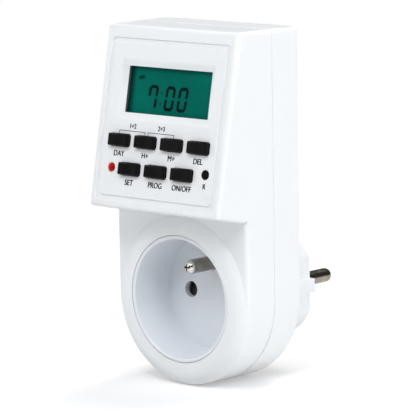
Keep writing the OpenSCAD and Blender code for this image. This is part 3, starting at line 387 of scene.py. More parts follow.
def clear_pane():
    """Thin acrylic: mostly see-through, with a faint gloss that changes in slow patches."""
    material, tree, shader = new_material("clear_pane")
    group = add_node(tree, "ShaderNodeGroup", node_tree=MOULDED)
    group.inputs["Rough Low"].default_value, group.inputs["Rough High"].default_value = 0.04, 0.1
    tree.links.new(group.outputs["Roughness"], shader.inputs["Roughness"])
    shader.inputs["Base Color"].default_value = (0.01, 0.05, 0.045, 1)
    shader.inputs["Alpha"].default_value = 0.08
    shader.inputs["Specular IOR Level"].default_value = 0.04
    return material


def light_lens():
    """The tinted lens of the status light, with a painted dark middle and a painted light rim."""
    material = plastic("light_lens", (0.66, 0.012, 0.003), (0.60, 0.010, 0.003), (0.08, 0.12),
                       bump=0.0)
    tree = material.node_tree
    link = tree.links.new
    shader = tree.nodes["Principled BSDF"]
    # Painted shade and light: darker where the lens faces the viewer, lighter toward its rim.
    facing = add_node(tree, "ShaderNodeLayerWeight", {"Blend": 0.35})
    depth = add_node(tree, "ShaderNodeMapRange", {"From Min": 0.02, "From Max": 0.3})
    core = add_node(tree, "ShaderNodeMix", data_type="RGBA")
    core.inputs["A"].default_value = (0.26, 0.004, 0.001, 1)
    body = tree.nodes["Mix"].outputs["Result"]
    link(facing.outputs["Facing"], depth.inputs["Value"])
    link(depth.outputs["Result"], core.inputs["Factor"])
    link(body, core.inputs["B"])
    link(core.outputs["Result"], shader.inputs["Base Color"])
    shader.inputs["Specular IOR Level"].default_value = 0.1
    shader.inputs["Emission Color"].default_value = (1.0, 0.012, 0.0, 1)
    shader.inputs["Emission Strength"].default_value = 0.05
    return material


DISPLAY_FILM = display_film()
CLEAR_PANE = clear_pane()
LIGHT_LENS = light_lens()
print("materials:", len(bpy.data.materials))

# %% [markdown]
# ## Dress the solids
# Every solid of the frame gets its finish, also those inside the case, because the model can be
# opened. One table names the finish of each node.

# %% Finish of each node
FINISHES = {
    CASE_WHITE: ["front_cover", "rear_cover", "control_panel"],
    INSERT_WHITE: ["socket_insert"],
    CLEAR_PANE: ["display_window"],
    DISPLAY_FILM: ["lcd_glass"],
    GREY_PLASTIC: ["lcd_holder", "ribbon_cable"],
    PILL_RUBBER: ["zebra_strips"] + [n for n in nodes if n.startswith("pill_")],
    BOARD_GREEN: ["logic_board"],
    BOARD_BROWN: ["power_board"],
    BLACK_RESIN: ["chip_cover", "bridge_diodes", "transistor"],
    STEEL: ["timing_crystal", "backup_battery", "board_screws", "shutter_spring", "case_screws",
            "power_board_screws"],
    MAT_RUBBER: ["key_mat"],
    KEY_BLACK: ["reset_button"] + [n for n in nodes if n.startswith("key_") and n != "key_mat"],
    LIGHT_LENS: ["status_led"],
    SHUTTER_GREY: ["shutter"],
    BRASS: ["contact_line", "contact_neutral", "earth_strap", "earth_receptacle",
            "earth_clip_top", "earth_clip_bottom"],
    CREAM: ["contact_carrier"],
    NICKEL: ["plug_pin_line", "plug_pin_neutral", "earth_pin"],
    RELAY_BLUE: ["relay", "smoothing_capacitor"],
    FILM_YELLOW: ["film_capacitor"],
    BLUE_RESIN: ["varistor"],
    TAN_RESIN: ["resistors"],
    ORANGE_GLASS: ["zener_diode"],
    WIRE_BROWN: ["wire_line_in"],
    WIRE_BLACK: ["wire_line_out"],
    WIRE_BLUE: ["wire_neutral"],
}
for finish, names in FINISHES.items():
    for name in names:
        nodes[name].data.materials.clear()
        nodes[name].data.materials.append(finish)
missing = set(nodes) - {n for names in FINISHES.values() for n in names}
print("nodes without a finish:", sorted(missing))

# %% [markdown]
# ## Softer shells
# The covers, the socket insert and the earth pin keep the shape of their solids. A solid's rounded
# edges are made of narrow flats, which would catch the light one by one. So each shell is a copy
# whose doubled points are merged and whose normals follow the large faces: the flats then shade as
# one round. Where a real mould leaves a soft rim, the copy's rim gets a small bevel as well.
# Slivers beside a joint can turn a normal too far, so those are set straight at the end.

# %% Mesh helpers
SMOOTH_ANGLE, SAME_WAY, SAME_PLANE = (math.radians(a) for a in (35, 0.5, 0.4))
SAME_POINT, BEVEL_STEPS = 2e-6, 3


def straighten_normals(mesh, flat=None):
    """Sets a corner's normal to its face's own where a sliver next to it has turned it too far.

    Faces that look along the direction called flat keep their own normal everywhere.
    """
    normals = [corner.vector.copy() for corner in mesh.corner_normals]
    for face in mesh.polygons:
        is_flat = flat is not None and face.normal.angle(flat, math.pi) < SAME_WAY
        for index in face.loop_indices:
            if is_flat or normals[index].angle(face.normal, 0) > SMOOTH_ANGLE:
                normals[index] = face.normal.copy()
    mesh.normals_split_custom_set(normals)


def finish_mesh(bm, name, material, body, bevel=0.0, flat=None):
    """An object of a bmesh: soft where faces nearly agree, bevelled where edges are marked."""
    mesh = bpy.data.meshes.new(name)
    bm.to_mesh(mesh)
    bm.free()
    mesh.shade_smooth()
    mesh.set_sharp_from_angle(angle=SMOOTH_ANGLE)
    mesh.materials.append(material)
    obj = bpy.data.objects.new(name, mesh)
    bpy.context.scene.collection.objects.link(obj)
    if bevel:
        soften = obj.modifiers.new("rim", "BEVEL")
        soften.width, soften.segments = bevel * MM, BEVEL_STEPS
        soften.limit_method = "WEIGHT"
        soften.use_clamp_overlap = True
    weigh = obj.modifiers.new("weigh", "WEIGHTED_NORMAL")
    weigh.keep_sharp = True
    baked = bpy.data.meshes.new_from_object(
        obj.evaluated_get(bpy.context.evaluated_depsgraph_get()))
    obj.modifiers.clear()
    obj.data = baked
    baked.name = name
    straighten_normals(baked, flat)
    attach(obj, body)
    return obj


def shell_copy(node, name, material, body, marked=None, **options):
    """A merged copy of a solid, which stands for it. marked(edge) says which edges to bevel."""
    bm = bmesh.new()
    bm.from_mesh(nodes[node].data)
    bmesh.ops.remove_doubles(bm, verts=bm.verts, dist=SAME_POINT)
    bmesh.ops.dissolve_limit(bm, angle_limit=SAME_PLANE, verts=bm.verts, edges=bm.edges)
    if marked:
        weight = bm.edges.layers.float.new("bevel_weight_edge")
        for edge in bm.edges:
            if marked(edge):
                edge[weight] = 1.0
    obj = finish_mesh(bm, name, material, body, **options)
    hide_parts(node)
    print(name, "faces:", len(obj.data.polygons))
    return obj


# %% Covers and socket insert
TOUCH, LIP_BAND, OPENING_CORNER = 0.02, 0.4, 1.9
RIM_BEVEL, CUP_BEVEL = 0.55, 0.7


def on_panel_rectangle(edge, half_w, half_h, middle_s, corner):
    """True for an edge that lies on a rectangle of the panel's face, rounded corners too."""
    for vert in edge.verts:
        place = UNPANEL @ vert.co / MM
        across, down = abs(place.x), abs(-place.y - middle_s)
        outside = across > half_w + TOUCH or down > half_h + TOUCH
        inside = across < half_w - corner and down < half_h - corner
        if abs(place.z) > TOUCH or outside or inside:
            return False
    return True


def on_opening_rim(edge):
    """True for an edge of the front cover's face around the control panel."""
    return on_panel_rectangle(edge, PLATE_W / 2, (PLATE_END - PLATE_TOP) / 2, PLATE_MID_S,
                              OPENING_CORNER)


def on_cup_mouth(edge):
    """True for the inner edge of the socket insert's lip."""
    return all(abs(vert.co.y / MM - SOCKET_Y) < TOUCH
               and abs(math.hypot(vert.co.x, vert.co.z) / MM - CUP_R) < LIP_BAND
               for vert in edge.verts)


shell_copy("front_cover", "front_shell", CASE_WHITE, "housing", on_opening_rim,
           bevel=RIM_BEVEL, flat=PANEL_NORMAL)
shell_copy("rear_cover", "rear_shell", CASE_WHITE, "housing")
shell_copy("socket_insert", "socket_cup", INSERT_WHITE, "housing", on_cup_mouth,
           bevel=CUP_BEVEL)
earth_prong = shell_copy("earth_pin", "earth_prong", NICKEL, "housing")
TIP_Y = SOCKET_Y + CUP_DEEP - EARTH_LENGTH
BRIGHT_TIP, RECESS_DEEP = 1.7, 0.06
# The ball of the tip takes a brighter nickel, and the faces of its cross recess are painted black
# as shade.
earth_prong.data.materials.append(NICKEL_BRIGHT)
earth_prong.data.materials.append(INK_AND_SHADE_BLACK)
for face in earth_prong.data.polygons:
    behind_tip = face.center.y / MM - TIP_Y
    off_axis = math.hypot(face.center.x, face.center.z - EARTH_UP * MM) / MM
    on_ball = math.hypot(off_axis, behind_tip - PIN_R) > PIN_R - RECESS_DEEP
    if behind_tip < BRIGHT_TIP:
        face.material_index = 1 if on_ball else 2

# %% [markdown]
# ## The control panel
# On the real object the panel is a moulded plate with a shallow groove around it and a sloping
# frame around the display. Its edges are never quite sharp, because a mould has a small radius
# there. The copy gets a bevel along the groove and along the top of the sloping frame. Its skirt
# is widened under the cover's soft rim, because the joint in the groove is too fine to be seen.

# %% Control panel
SKIRT_BAND, PLATE_CORNER, FRAME_CORNER = 0.25, 1.3, 1.0
FRAME_SLOPE, PANEL_BEVEL = 1.2, 0.45


def on_raised_edge(edge):
    """True along the top of the raised plate and along the top of the display's frame."""
    half_w = PLATE_W / 2 - GROOVE_W
    half_h = (PLATE_END - PLATE_TOP) / 2 - GROOVE_W
    slope_w = WINDOW_BEVEL * FRAME_SLOPE
    frame_w = WINDOW_W / 2 + slope_w
    frame_h = (WINDOW_END - WINDOW_TOP) / 2 + slope_w
    window_mid = (WINDOW_TOP + WINDOW_END) / 2
    return on_panel_rectangle(edge, half_w, half_h, PLATE_MID_S, PLATE_CORNER) \
        or on_panel_rectangle(edge, frame_w, frame_h, window_mid, FRAME_CORNER)


panel_shell = shell_copy("control_panel", "panel_shell", CASE_WHITE, "housing", on_raised_edge,
                         bevel=PANEL_BEVEL, flat=PANEL_NORMAL)
for vert in panel_shell.data.vertices:
    place = UNPANEL @ vert.co / MM
    if abs(place.x) > PLATE_W / 2 - SKIRT_BAND:
        place.x += math.copysign(JOINT, place.x)
    if abs(-place.y - PLATE_MID_S) > (PLATE_END - PLATE_TOP) / 2 - SKIRT_BAND:
        place.y += math.copysign(JOINT, place.y + PLATE_MID_S)
    vert.co = PANEL @ (place * MM)
shell_copy("status_led", "light_shell", LIGHT_LENS, "housing")

# %% [markdown]
# ## Geometry Nodes
# What repeats is made by a small tree of geometry nodes: it is written once, with its sizes as
# named inputs, and run once for each piece. The first helper sets a tree's inputs by their
# identifiers, runs it on a throw-away object and keeps only the mesh. The others build parts that
# several trees share.

# %% Tree helpers


def run_tree(tree, values, points=(), turns=()):
    """The mesh that a tree makes from its input values, and from points that it may start with."""
    mesh = bpy.data.meshes.new("start")
    mesh.from_pydata(list(points), [], [])
    if turns:
        mesh.attributes.new("turn", "FLOAT", "POINT").data.foreach_set("value", turns)
    carrier = bpy.data.objects.new("carrier", mesh)
    bpy.context.scene.collection.objects.link(carrier)
    maker = carrier.modifiers.new("maker", "NODES")
    maker.node_group = tree
    for item in tree.interface.items_tree:
        if item.item_type == "SOCKET" and item.in_out == "INPUT" and item.name in values:
            maker[item.identifier] = values[item.name]
    made = bpy.data.meshes.new_from_object(
        carrier.evaluated_get(bpy.context.evaluated_depsgraph_get()))
    carrier.modifiers.clear()
    bpy.data.objects.remove(carrier)
    return made


def point_place(tree):
    """The X, Y and Z of each point's place."""
    split = add_node(tree, "ShaderNodeSeparateXYZ")
    tree.links.new(add_node(tree, "GeometryNodeInputPosition").outputs[0], split.inputs[0])
    return split.outputs


def raised(tree, geometry, z):
    """The geometry of a socket, moved along Z."""
    shift = add_node(tree, "GeometryNodeTransform")
    tree.links.new(geometry, shift.inputs["Geometry"])
    tree.links.new(vector(tree, 0.0, 0.0, z), shift.inputs["Translation"])
    return shift.outputs["Geometry"]


def end_tree(tree, geometry, finish, end):
    """Ends a tree: instances become real, and all of it gets the material."""
    link = tree.links.new
    real = add_node(tree, "GeometryNodeRealizeInstances")
    coat = add_node(tree, "GeometryNodeSetMaterial")
    link(geometry, real.inputs[0])
    link(real.outputs[0], coat.inputs["Geometry"])
    link(finish, coat.inputs["Material"])
    link(coat.outputs[0], end.inputs[0])


# %% [markdown]
# ## Keys
# A key is a block with softly rounded edges and a top that is slightly crowned across. Below the
# panel it has a flange that stops it from falling out, and a foot that presses the rubber dome.
# The block could be a bevelled box, but a bevel does not follow a crown. Here a grid of points on
# a cube is spread out instead: the middle of each side stays flat, and its border bends round.

# %% Key tree
FLAT_SHARE, ABOVE_MIDDLE = 0.6, 0.05
FLANGE_EXTRA, FLANGE_MID = 2.0, PANEL_THICK + 0.5
FOOT_R, FOOT_LENGTH, FOOT_MID = 1.4, 2.5, PANEL_THICK + 2.15


def key_tree():
    """Rounded, crowned block with a flange and a foot. Lengths are in millimetres."""
    tree, start, end = new_group(
        "key_cap", "GeometryNodeTree",
        [("Width", "NodeSocketFloat", KEY_W), ("Height", "NodeSocketFloat", KEY_H),
         ("Rise", "NodeSocketFloat", KEY_RISE), ("Depth", "NodeSocketFloat", PANEL_THICK + 0.1),
         ("Edge Radius", "NodeSocketFloat", 0.5), ("Crown Radius", "NodeSocketFloat", 26.0),
         ("Flange", "NodeSocketFloat", 1.0), ("Finish", "NodeSocketMaterial", None)],
        [("Geometry", "NodeSocketGeometry")])
    size = start.outputs
    link = tree.links.new
    cube = add_node(tree, "GeometryNodeMeshCube",
                    {"Size": (2, 2, 2), "Vertices X": 21, "Vertices Y": 21, "Vertices Z": 21})
    place = point_place(tree)
    tall = maths(tree, "ADD", size["Rise"], size["Depth"])
    cores, edges = [], []
    for axis, length in zip("XYZ", (size["Width"], size["Height"], tall)):
        sign = maths(tree, "SIGN", place[axis])
        reach = maths(tree, "ABSOLUTE", place[axis])
        flat = maths(tree, "SUBTRACT", maths(tree, "DIVIDE", length, 2.0), size["Edge Radius"])
        core = add_node(tree, "ShaderNodeMapRange", {"From Max": FLAT_SHARE})
        edge = add_node(tree, "ShaderNodeMapRange", {"From Min": FLAT_SHARE})
        link(reach, core.inputs["Value"])
        link(flat, core.inputs["To Max"])
        link(reach, edge.inputs["Value"])
        cores.append(maths(tree, "MULTIPLY", sign, core.outputs["Result"]))
        edges.append(maths(tree, "MULTIPLY", sign, edge.outputs["Result"]))
    outward = add_node(tree, "ShaderNodeVectorMath", operation="NORMALIZE")
    rounding = add_node(tree, "ShaderNodeVectorMath", operation="SCALE")
    block = add_node(tree, "ShaderNodeVectorMath", operation="ADD")
    link(vector(tree, *edges), outward.inputs[0])
    link(outward.outputs[0], rounding.inputs[0])
    link(size["Edge Radius"], rounding.inputs["Scale"])
    link(vector(tree, *cores), block.inputs[0])
    link(rounding.outputs[0], block.inputs[1])
    lift = maths(tree, "DIVIDE", maths(tree, "SUBTRACT", size["Rise"], size["Depth"]), 2.0)
    across = add_node(tree, "ShaderNodeSeparateXYZ")
    link(block.outputs[0], across.inputs[0])
    drop = maths(tree, "DIVIDE", squared(tree, across.outputs["X"]),
                 maths(tree, "MULTIPLY", size["Crown Radius"], -2.0))
    is_top = maths(tree, "GREATER_THAN", place["Z"], ABOVE_MIDDLE)
    crowned = maths(tree, "MULTIPLY", drop, is_top)
    shift = add_node(tree, "ShaderNodeVectorMath", operation="ADD")
    link(block.outputs[0], shift.inputs[0])
    link(vector(tree, 0.0, 0.0, maths(tree, "ADD", lift, crowned)), shift.inputs[1])
    cap = add_node(tree, "GeometryNodeSetPosition")
    link(cube.outputs["Mesh"], cap.inputs["Geometry"])
    link(shift.outputs[0], cap.inputs["Position"])

    skirt = add_node(tree, "GeometryNodeMeshCube")
    wide, high = (maths(tree, "ADD", size[side], FLANGE_EXTRA) for side in ("Width", "Height"))
    link(vector(tree, wide, high, size["Flange"]), skirt.inputs["Size"])
    foot = add_node(tree, "GeometryNodeMeshCylinder",
                    {"Vertices": 32, "Radius": FOOT_R, "Depth": FOOT_LENGTH})
    join = add_node(tree, "GeometryNodeJoinGeometry")
    for part in (cap.outputs["Geometry"], raised(tree, skirt.outputs["Mesh"], -FLANGE_MID),
                 raised(tree, foot.outputs["Mesh"], -FOOT_MID)):
        link(part, join.inputs[0])
    end_tree(tree, join.outputs[0], size["Finish"], end)
    return tree


KEY_TREE = key_tree()
print("key tree nodes:", len(KEY_TREE.nodes))

# %% Place the keys
SAME_POINT_MM = 1e-4


def place_on_panel(mesh, x, s, w=0.0):
    """A bmesh of a mesh in millimetres, moved to its place on the panel, in metres."""
    bm = bmesh.new()
    bm.from_mesh(mesh)
    bmesh.ops.remove_doubles(bm, verts=bm.verts, dist=SAME_POINT_MM)
    bm.transform(Matrix.Scale(MM, 4))
    bm.transform(PANEL @ Matrix.Translation(Vector((x, -s, w)) * MM))
    bmesh.ops.recalc_face_normals(bm, faces=bm.faces)
    return bm


for key, (x, s) in KEY_PLACES.items():
    made = run_tree(KEY_TREE, {"Width": KEY_W, "Height": KEY_H, "Rise": KEY_RISE,
                               "Finish": KEY_BLACK})
    cap = finish_mesh(place_on_panel(made, x, s), "cap_" + key, KEY_BLACK, key + "_key")
    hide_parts("key_" + key)
print("keys:", len(KEY_PLACES), "faces each:", len(made.polygons))

# %% [markdown]
# ## Case screws
# Four screws hold the covers together. They go in from the back and sit deep in round pockets.
# Each has a low domed head with a cross recess and a plain shank. The tree makes one screw, cuts
# the cross with a mesh boolean, and puts a copy on each point that it is given.

# %% Screw tree
UPRIGHT = math.pi / 2
SCREW_X, SCREW_HEIGHTS, SCREW_SEAT_Y = 24.7, (25.0, 82.0), SOCKET_Y + 24.0
SCREW_HEAD_R, SCREW_HEAD_H, SCREW_LENGTH = 2.6, 2.0, 14.1


def screw_tree():
    """A cross-head screw on each point, with its head towards +Y. Lengths are in millimetres."""
    tree, start, end = new_group(
        "cross_screw", "GeometryNodeTree",
        [("Geometry", "NodeSocketGeometry", None), ("Head Radius", "NodeSocketFloat", 2.6),
         ("Head Height", "NodeSocketFloat", 2.0), ("Dome", "NodeSocketFloat", 0.5),
         ("Shank Radius", "NodeSocketFloat", 1.4), ("Length", "NodeSocketFloat", 14.1),
         ("Slot Width", "NodeSocketFloat", 0.6), ("Finish", "NodeSocketMaterial", None)],
        [("Geometry", "NodeSocketGeometry")])
    size = start.outputs
    link = tree.links.new
    half = maths(tree, "DIVIDE", size["Head Height"], 2.0)
    head = add_node(tree, "GeometryNodeMeshCylinder",
                    {"Vertices": 32, "Side Segments": 1, "Fill Segments": 5})
    link(size["Head Radius"], head.inputs["Radius"])
    link(size["Head Height"], head.inputs["Depth"])
    place = point_place(tree)
    off_axis = maths(tree, "ADD", squared(tree, place["X"]), squared(tree, place["Y"]))
    outward = maths(tree, "DIVIDE", off_axis, maths(tree, "POWER", size["Head Radius"], 2.0))
    on_top = maths(tree, "GREATER_THAN", place["Z"], 0.0)
    sink = maths(tree, "MULTIPLY", maths(tree, "MULTIPLY", outward, on_top), size["Dome"])
    dome = add_node(tree, "GeometryNodeSetPosition")
    link(head.outputs["Mesh"], dome.inputs["Geometry"])
    link(vector(tree, 0.0, 0.0, maths(tree, "SUBTRACT", half, sink)), dome.inputs["Offset"])
    cut = add_node(tree, "GeometryNodeMeshBoolean", operation="DIFFERENCE")
    link(dome.outputs["Geometry"], cut.inputs["Mesh 1"])
    reach = maths(tree, "MULTIPLY", size["Head Radius"], 1.3)
    for sides in ((reach, size["Slot Width"]), (size["Slot Width"], reach)):
        bar = add_node(tree, "GeometryNodeMeshCube")
        link(vector(tree, *sides, size["Head Height"]), bar.inputs["Size"])
        lift = maths(tree, "MULTIPLY", size["Head Height"], 0.9)
        link(raised(tree, bar.outputs["Mesh"], lift), cut.inputs["Mesh 2"])
    shank = add_node(tree, "GeometryNodeMeshCylinder", {"Vertices": 24})
    link(size["Shank Radius"], shank.inputs["Radius"])
    link(size["Length"], shank.inputs["Depth"])
    shank_mid = maths(tree, "DIVIDE", size["Length"], -2.0)
    join = add_node(tree, "GeometryNodeJoinGeometry")
    link(cut.outputs["Mesh"], join.inputs[0])
    link(raised(tree, shank.outputs["Mesh"], shank_mid), join.inputs[0])
    copies = add_node(tree, "GeometryNodeInstanceOnPoints", {"Rotation": (-UPRIGHT, 0.0, 0.0)})
    link(size["Geometry"], copies.inputs["Points"])
    link(join.outputs[0], copies.inputs["Instance"])
    end_tree(tree, copies.outputs[0], size["Finish"], end)
    return tree


seats = [(side * SCREW_X, SCREW_SEAT_Y, z) for z in SCREW_HEIGHTS for side in (-1, 1)]
made = run_tree(screw_tree(), {"Head Radius": SCREW_HEAD_R, "Head Height": SCREW_HEAD_H,
                               "Shank Radius": SCREW_R, "Length": SCREW_LENGTH,
                               "Finish": STEEL}, seats)
bm = bmesh.new()
bm.from_mesh(made)
bm.transform(Matrix.Scale(MM, 4))
screws = finish_mesh(bm, "screw_heads", STEEL, "housing")
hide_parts("case_screws")
print("screws:", len(seats), "faces:", len(screws.data.polygons))

# %% [markdown]
# ## Digits
# A segment display shows each figure with up to seven bars whose ends are cut to a point, and the
# whole figure leans a little. The tree puts one bar on each point that it is given, turns it
# upright where the point says so, and leans the result. Which bars are lit is a plain table.

# %% Segment tree
HEXAGON_WIDTH = 1.732


def segment_tree():
    """Pointed bars on points, leaning to the right. Lengths are in millimetres."""
    tree, start, end = new_group(
        "display_segment", "GeometryNodeTree",
        [("Geometry", "NodeSocketGeometry", None), ("Length", "NodeSocketFloat", 3.0),
         ("Stroke", "NodeSocketFloat", 0.8), ("Point", "NodeSocketFloat", 0.3),
         ("Thickness", "NodeSocketFloat", 0.03),
         ("Lean", "NodeSocketFloat", 0.07), ("Finish", "NodeSocketMaterial", None)],
        [("Geometry", "NodeSocketGeometry")])
    size = start.outputs
    link = tree.links.new
    bar = add_node(tree, "GeometryNodeMeshCylinder", {"Vertices": 6, "Radius": 1.0})
    link(size["Thickness"], bar.inputs["Depth"])
    place = point_place(tree)
    from_tip = maths(tree, "SUBTRACT", 1.0, maths(tree, "ABSOLUTE", place["X"]))
    shorter = maths(tree, "MULTIPLY", maths(tree, "MULTIPLY", size["Point"], 2.0), from_tip)
    reach = maths(tree, "SUBTRACT", maths(tree, "DIVIDE", size["Length"], 2.0), shorter)
    along = maths(tree, "MULTIPLY", maths(tree, "SIGN", place["X"]), reach)
    half_width = maths(tree, "DIVIDE", place["Y"], HEXAGON_WIDTH)
    across = maths(tree, "MULTIPLY", half_width, size["Stroke"])
    shape = add_node(tree, "GeometryNodeSetPosition")
    link(bar.outputs["Mesh"], shape.inputs["Geometry"])
    link(vector(tree, along, across, place["Z"]), shape.inputs["Position"])
    turn = add_node(tree, "GeometryNodeInputNamedAttribute", {"Name": "turn"}, data_type="FLOAT")
    copies = add_node(tree, "GeometryNodeInstanceOnPoints")
    link(size["Geometry"], copies.inputs["Points"])
    link(shape.outputs[0], copies.inputs["Instance"])
    link(vector(tree, 0.0, 0.0, turn.outputs["Attribute"]), copies.inputs["Rotation"])
    real = add_node(tree, "GeometryNodeRealizeInstances")
    link(copies.outputs[0], real.inputs[0])
    lean = add_node(tree, "GeometryNodeSetPosition")
    link(real.outputs[0], lean.inputs["Geometry"])
    aside = maths(tree, "MULTIPLY", point_place(tree)["Y"], size["Lean"])
    link(vector(tree, aside, 0.0, 0.0), lean.inputs["Offset"])
    end_tree(tree, lean.outputs[0], size["Finish"], end)
    return tree


SEGMENT_TREE = segment_tree()
print("segment tree nodes:", len(SEGMENT_TREE.nodes))

# %% Digits on the display
DIGIT_W, DIGIT_H, STROKE, APART = 3.1, 7.1, 1.1, 0.1
LEVEL_BAR, UPRIGHT_BAR = DIGIT_W + 0.15, DIGIT_H / 2 - 0.35
SEGMENTS = {
    "top": (0.0, DIGIT_H / 2, 0.0), "middle": (0.0, 0.0, 0.0), "bottom": (0.0, -DIGIT_H / 2, 0.0),
    "upper left": (-DIGIT_W / 2, DIGIT_H / 4 + APART, UPRIGHT),
    "upper right": (DIGIT_W / 2, DIGIT_H / 4 + APART, UPRIGHT),
    "lower left": (-DIGIT_W / 2, -DIGIT_H / 4 - APART, UPRIGHT),
    "lower right": (DIGIT_W / 2, -DIGIT_H / 4 - APART, UPRIGHT),
}
ROUND_ZERO = [name for name in SEGMENTS if name != "middle"]
HOOKED_SEVEN = ["top", "upper left", "upper right", "lower right"]
CLOCK_MID_S = 22.85
FIGURES = [(-7.95, HOOKED_SEVEN), (-0.45, ROUND_ZERO), (5.2, ROUND_ZERO)]
COLON, COLON_R = [(-4.0, 21.15), (-4.35, 24.75)], 0.36

whole = bmesh.new()
for upright, length in ((False, LEVEL_BAR), (True, UPRIGHT_BAR)):
    places, turns = [], []
    for x, lit in FIGURES:
        for name in lit:
            across, up_by, turn = SEGMENTS[name]
            if (turn > 0) == upright:
                places.append((x + across, up_by, 0.0))
                turns.append(turn)
    whole.from_mesh(run_tree(SEGMENT_TREE, {"Length": length, "Stroke": STROKE, "Lean": 0.085,
                                            "Finish": DISPLAY_INK}, places, turns))
    print("bars of", round(length, 2), "mm:", len(places))
digits_mesh = bpy.data.meshes.new("digits")
whole.to_mesh(digits_mesh)
whole.free()
digits = finish_mesh(place_on_panel(digits_mesh, 0.0, CLOCK_MID_S, GLASS_W + INK_RISE),
                     "display_digits", DISPLAY_INK, "housing")

# %% [markdown]
# ## Words and marks
# Short words are printed on the panel under the keys, and a small mark on the display. A font
# curve gives their outline. It is turned into a mesh first, made narrower, and only then moved to
# its place, two or three hundredths of a millimetre proud of the surface, like a layer of ink.

# %% Print helpers
CAP_HEIGHT, NARROW, BOLD = 0.72, 0.88, 0.1
LINE_W, PANEL_INK_W, HALF_INK = 0.2, 0.012, 0.01


def word(bm, text, x, s, height, lean=0.0):
    """Adds a word to a bmesh in panel millimetres, with its middle at x and its foot at s.

    It is struck twice, a little apart, which makes it bold.
    """
    curve = bpy.data.curves.new(text, "FONT")
    curve.body = text
    curve.size = height / CAP_HEIGHT
    curve.extrude = HALF_INK
    curve.align_x = "CENTER"
    curve.resolution_u = 4
    obj = bpy.data.objects.new(text, curve)
    bpy.context.scene.collection.objects.link(obj)
    mesh = bpy.data.meshes.new_from_object(
        obj.evaluated_get(bpy.context.evaluated_depsgraph_get()))
    bpy.data.objects.remove(obj)
    shape = Matrix.Scale(NARROW, 4, (1, 0, 0))
    shape[0][1] = lean
    mesh.transform(Matrix.Translation((x - BOLD, -s - BOLD / 2, 0)) @ shape)
    bm.from_mesh(mesh)
    mesh.transform(Matrix.Translation((2 * BOLD, BOLD, 0)))
    bm.from_mesh(mesh)


def line(bm, x0, s0, x1, s1):
    """Adds a straight printed line, along x or along s, in panel millimetres."""
    low = Vector((min(x0, x1) - LINE_W / 2, -max(s0, s1) - LINE_W / 2, -HALF_INK))
    high = Vector((max(x0, x1) + LINE_W / 2, -min(s0, s1) + LINE_W / 2, HALF_INK))
    corners = bmesh.ops.create_cube(bm, size=1.0)["verts"]
    for vert in corners:
        vert.co = Vector([low[i] if vert.co[i] < 0 else high[i] for i in range(3)])


def dot(bm, x, s, radius):
    """Adds a round printed dot, in panel millimetres."""
    bmesh.ops.create_cone(bm, cap_ends=True, segments=20, radius1=radius, radius2=radius,
                          depth=2 * HALF_INK, matrix=Matrix.Translation((x, -s, 0)))


def printed(bm, name, material, w):
    """Puts the marks of a bmesh on the panel at a height, as one piece."""
    mesh = bpy.data.meshes.new(name)
    bm.to_mesh(mesh)
    bm.free()
    return finish_mesh(place_on_panel(mesh, 0, 0, w), name, material, "housing")


# %% Words under the keys
WORD_H, WORD_GAP = 1.9, 1.3
RESET_WORD_H, RESET_WORD_DOWN = 1.7, 4.6
BRACKET_S, BRACKET_WORD_H, BRACKET_GAP, KEY_GAP = 34.6, 1.6, 0.9, 0.1
LABELS = {"weekday": "DAY", "hour": "H+", "minute": "M+", "clear": "DEL",
          "clock": "SET", "program": "PROG", "mode": "ON/OFF"}
ink = bmesh.new()
for key, text in LABELS.items():
    x, s = KEY_PLACES[key]
    word(ink, text, x, s + KEY_H / 2 + WORD_GAP + WORD_H, WORD_H)
word(ink, "R", RESET_AT[0], RESET_AT[1] + RESET_WORD_DOWN, RESET_WORD_H)
for text, left, right in (("1+2", -18.2, -6.8), ("2+3", -5.5, 5.9)):
    word(ink, text, (left + right) / 2, BRACKET_S - BRACKET_GAP, BRACKET_WORD_H)
    line(ink, left, BRACKET_S, right, BRACKET_S)
    for x in (left, right):
        line(ink, x, BRACKET_S, x, ROW_1 - KEY_H / 2 - KEY_GAP)
panel_words = printed(ink, "panel_words", INK_AND_SHADE_BLACK, PANEL_INK_W)
print("printed faces:", len(panel_words.data.polygons))

# %% Small marks on the display
ink = bmesh.new()
for x, s in COLON:
    dot(ink, x, s, COLON_R)
word(ink, "AM", -13.75, 17.25, 1.5, lean=0.1)
display_marks = printed(ink, "display_marks", DISPLAY_INK, GLASS_W + INK_RISE)
print("marks:", len(COLON) + 1)

# %% [markdown]
# ## The floor and the light
# A plain white table. Its colour comes from the floor itself for what the camera and reflections
# see, and it still darkens where the timer keeps the light off it, which grounds the object.

# %% Floor
FLOOR_Z = cad_low.z
FLOOR_HALF = 3.0
SHADOW_FADE = (0.16, 0.42)


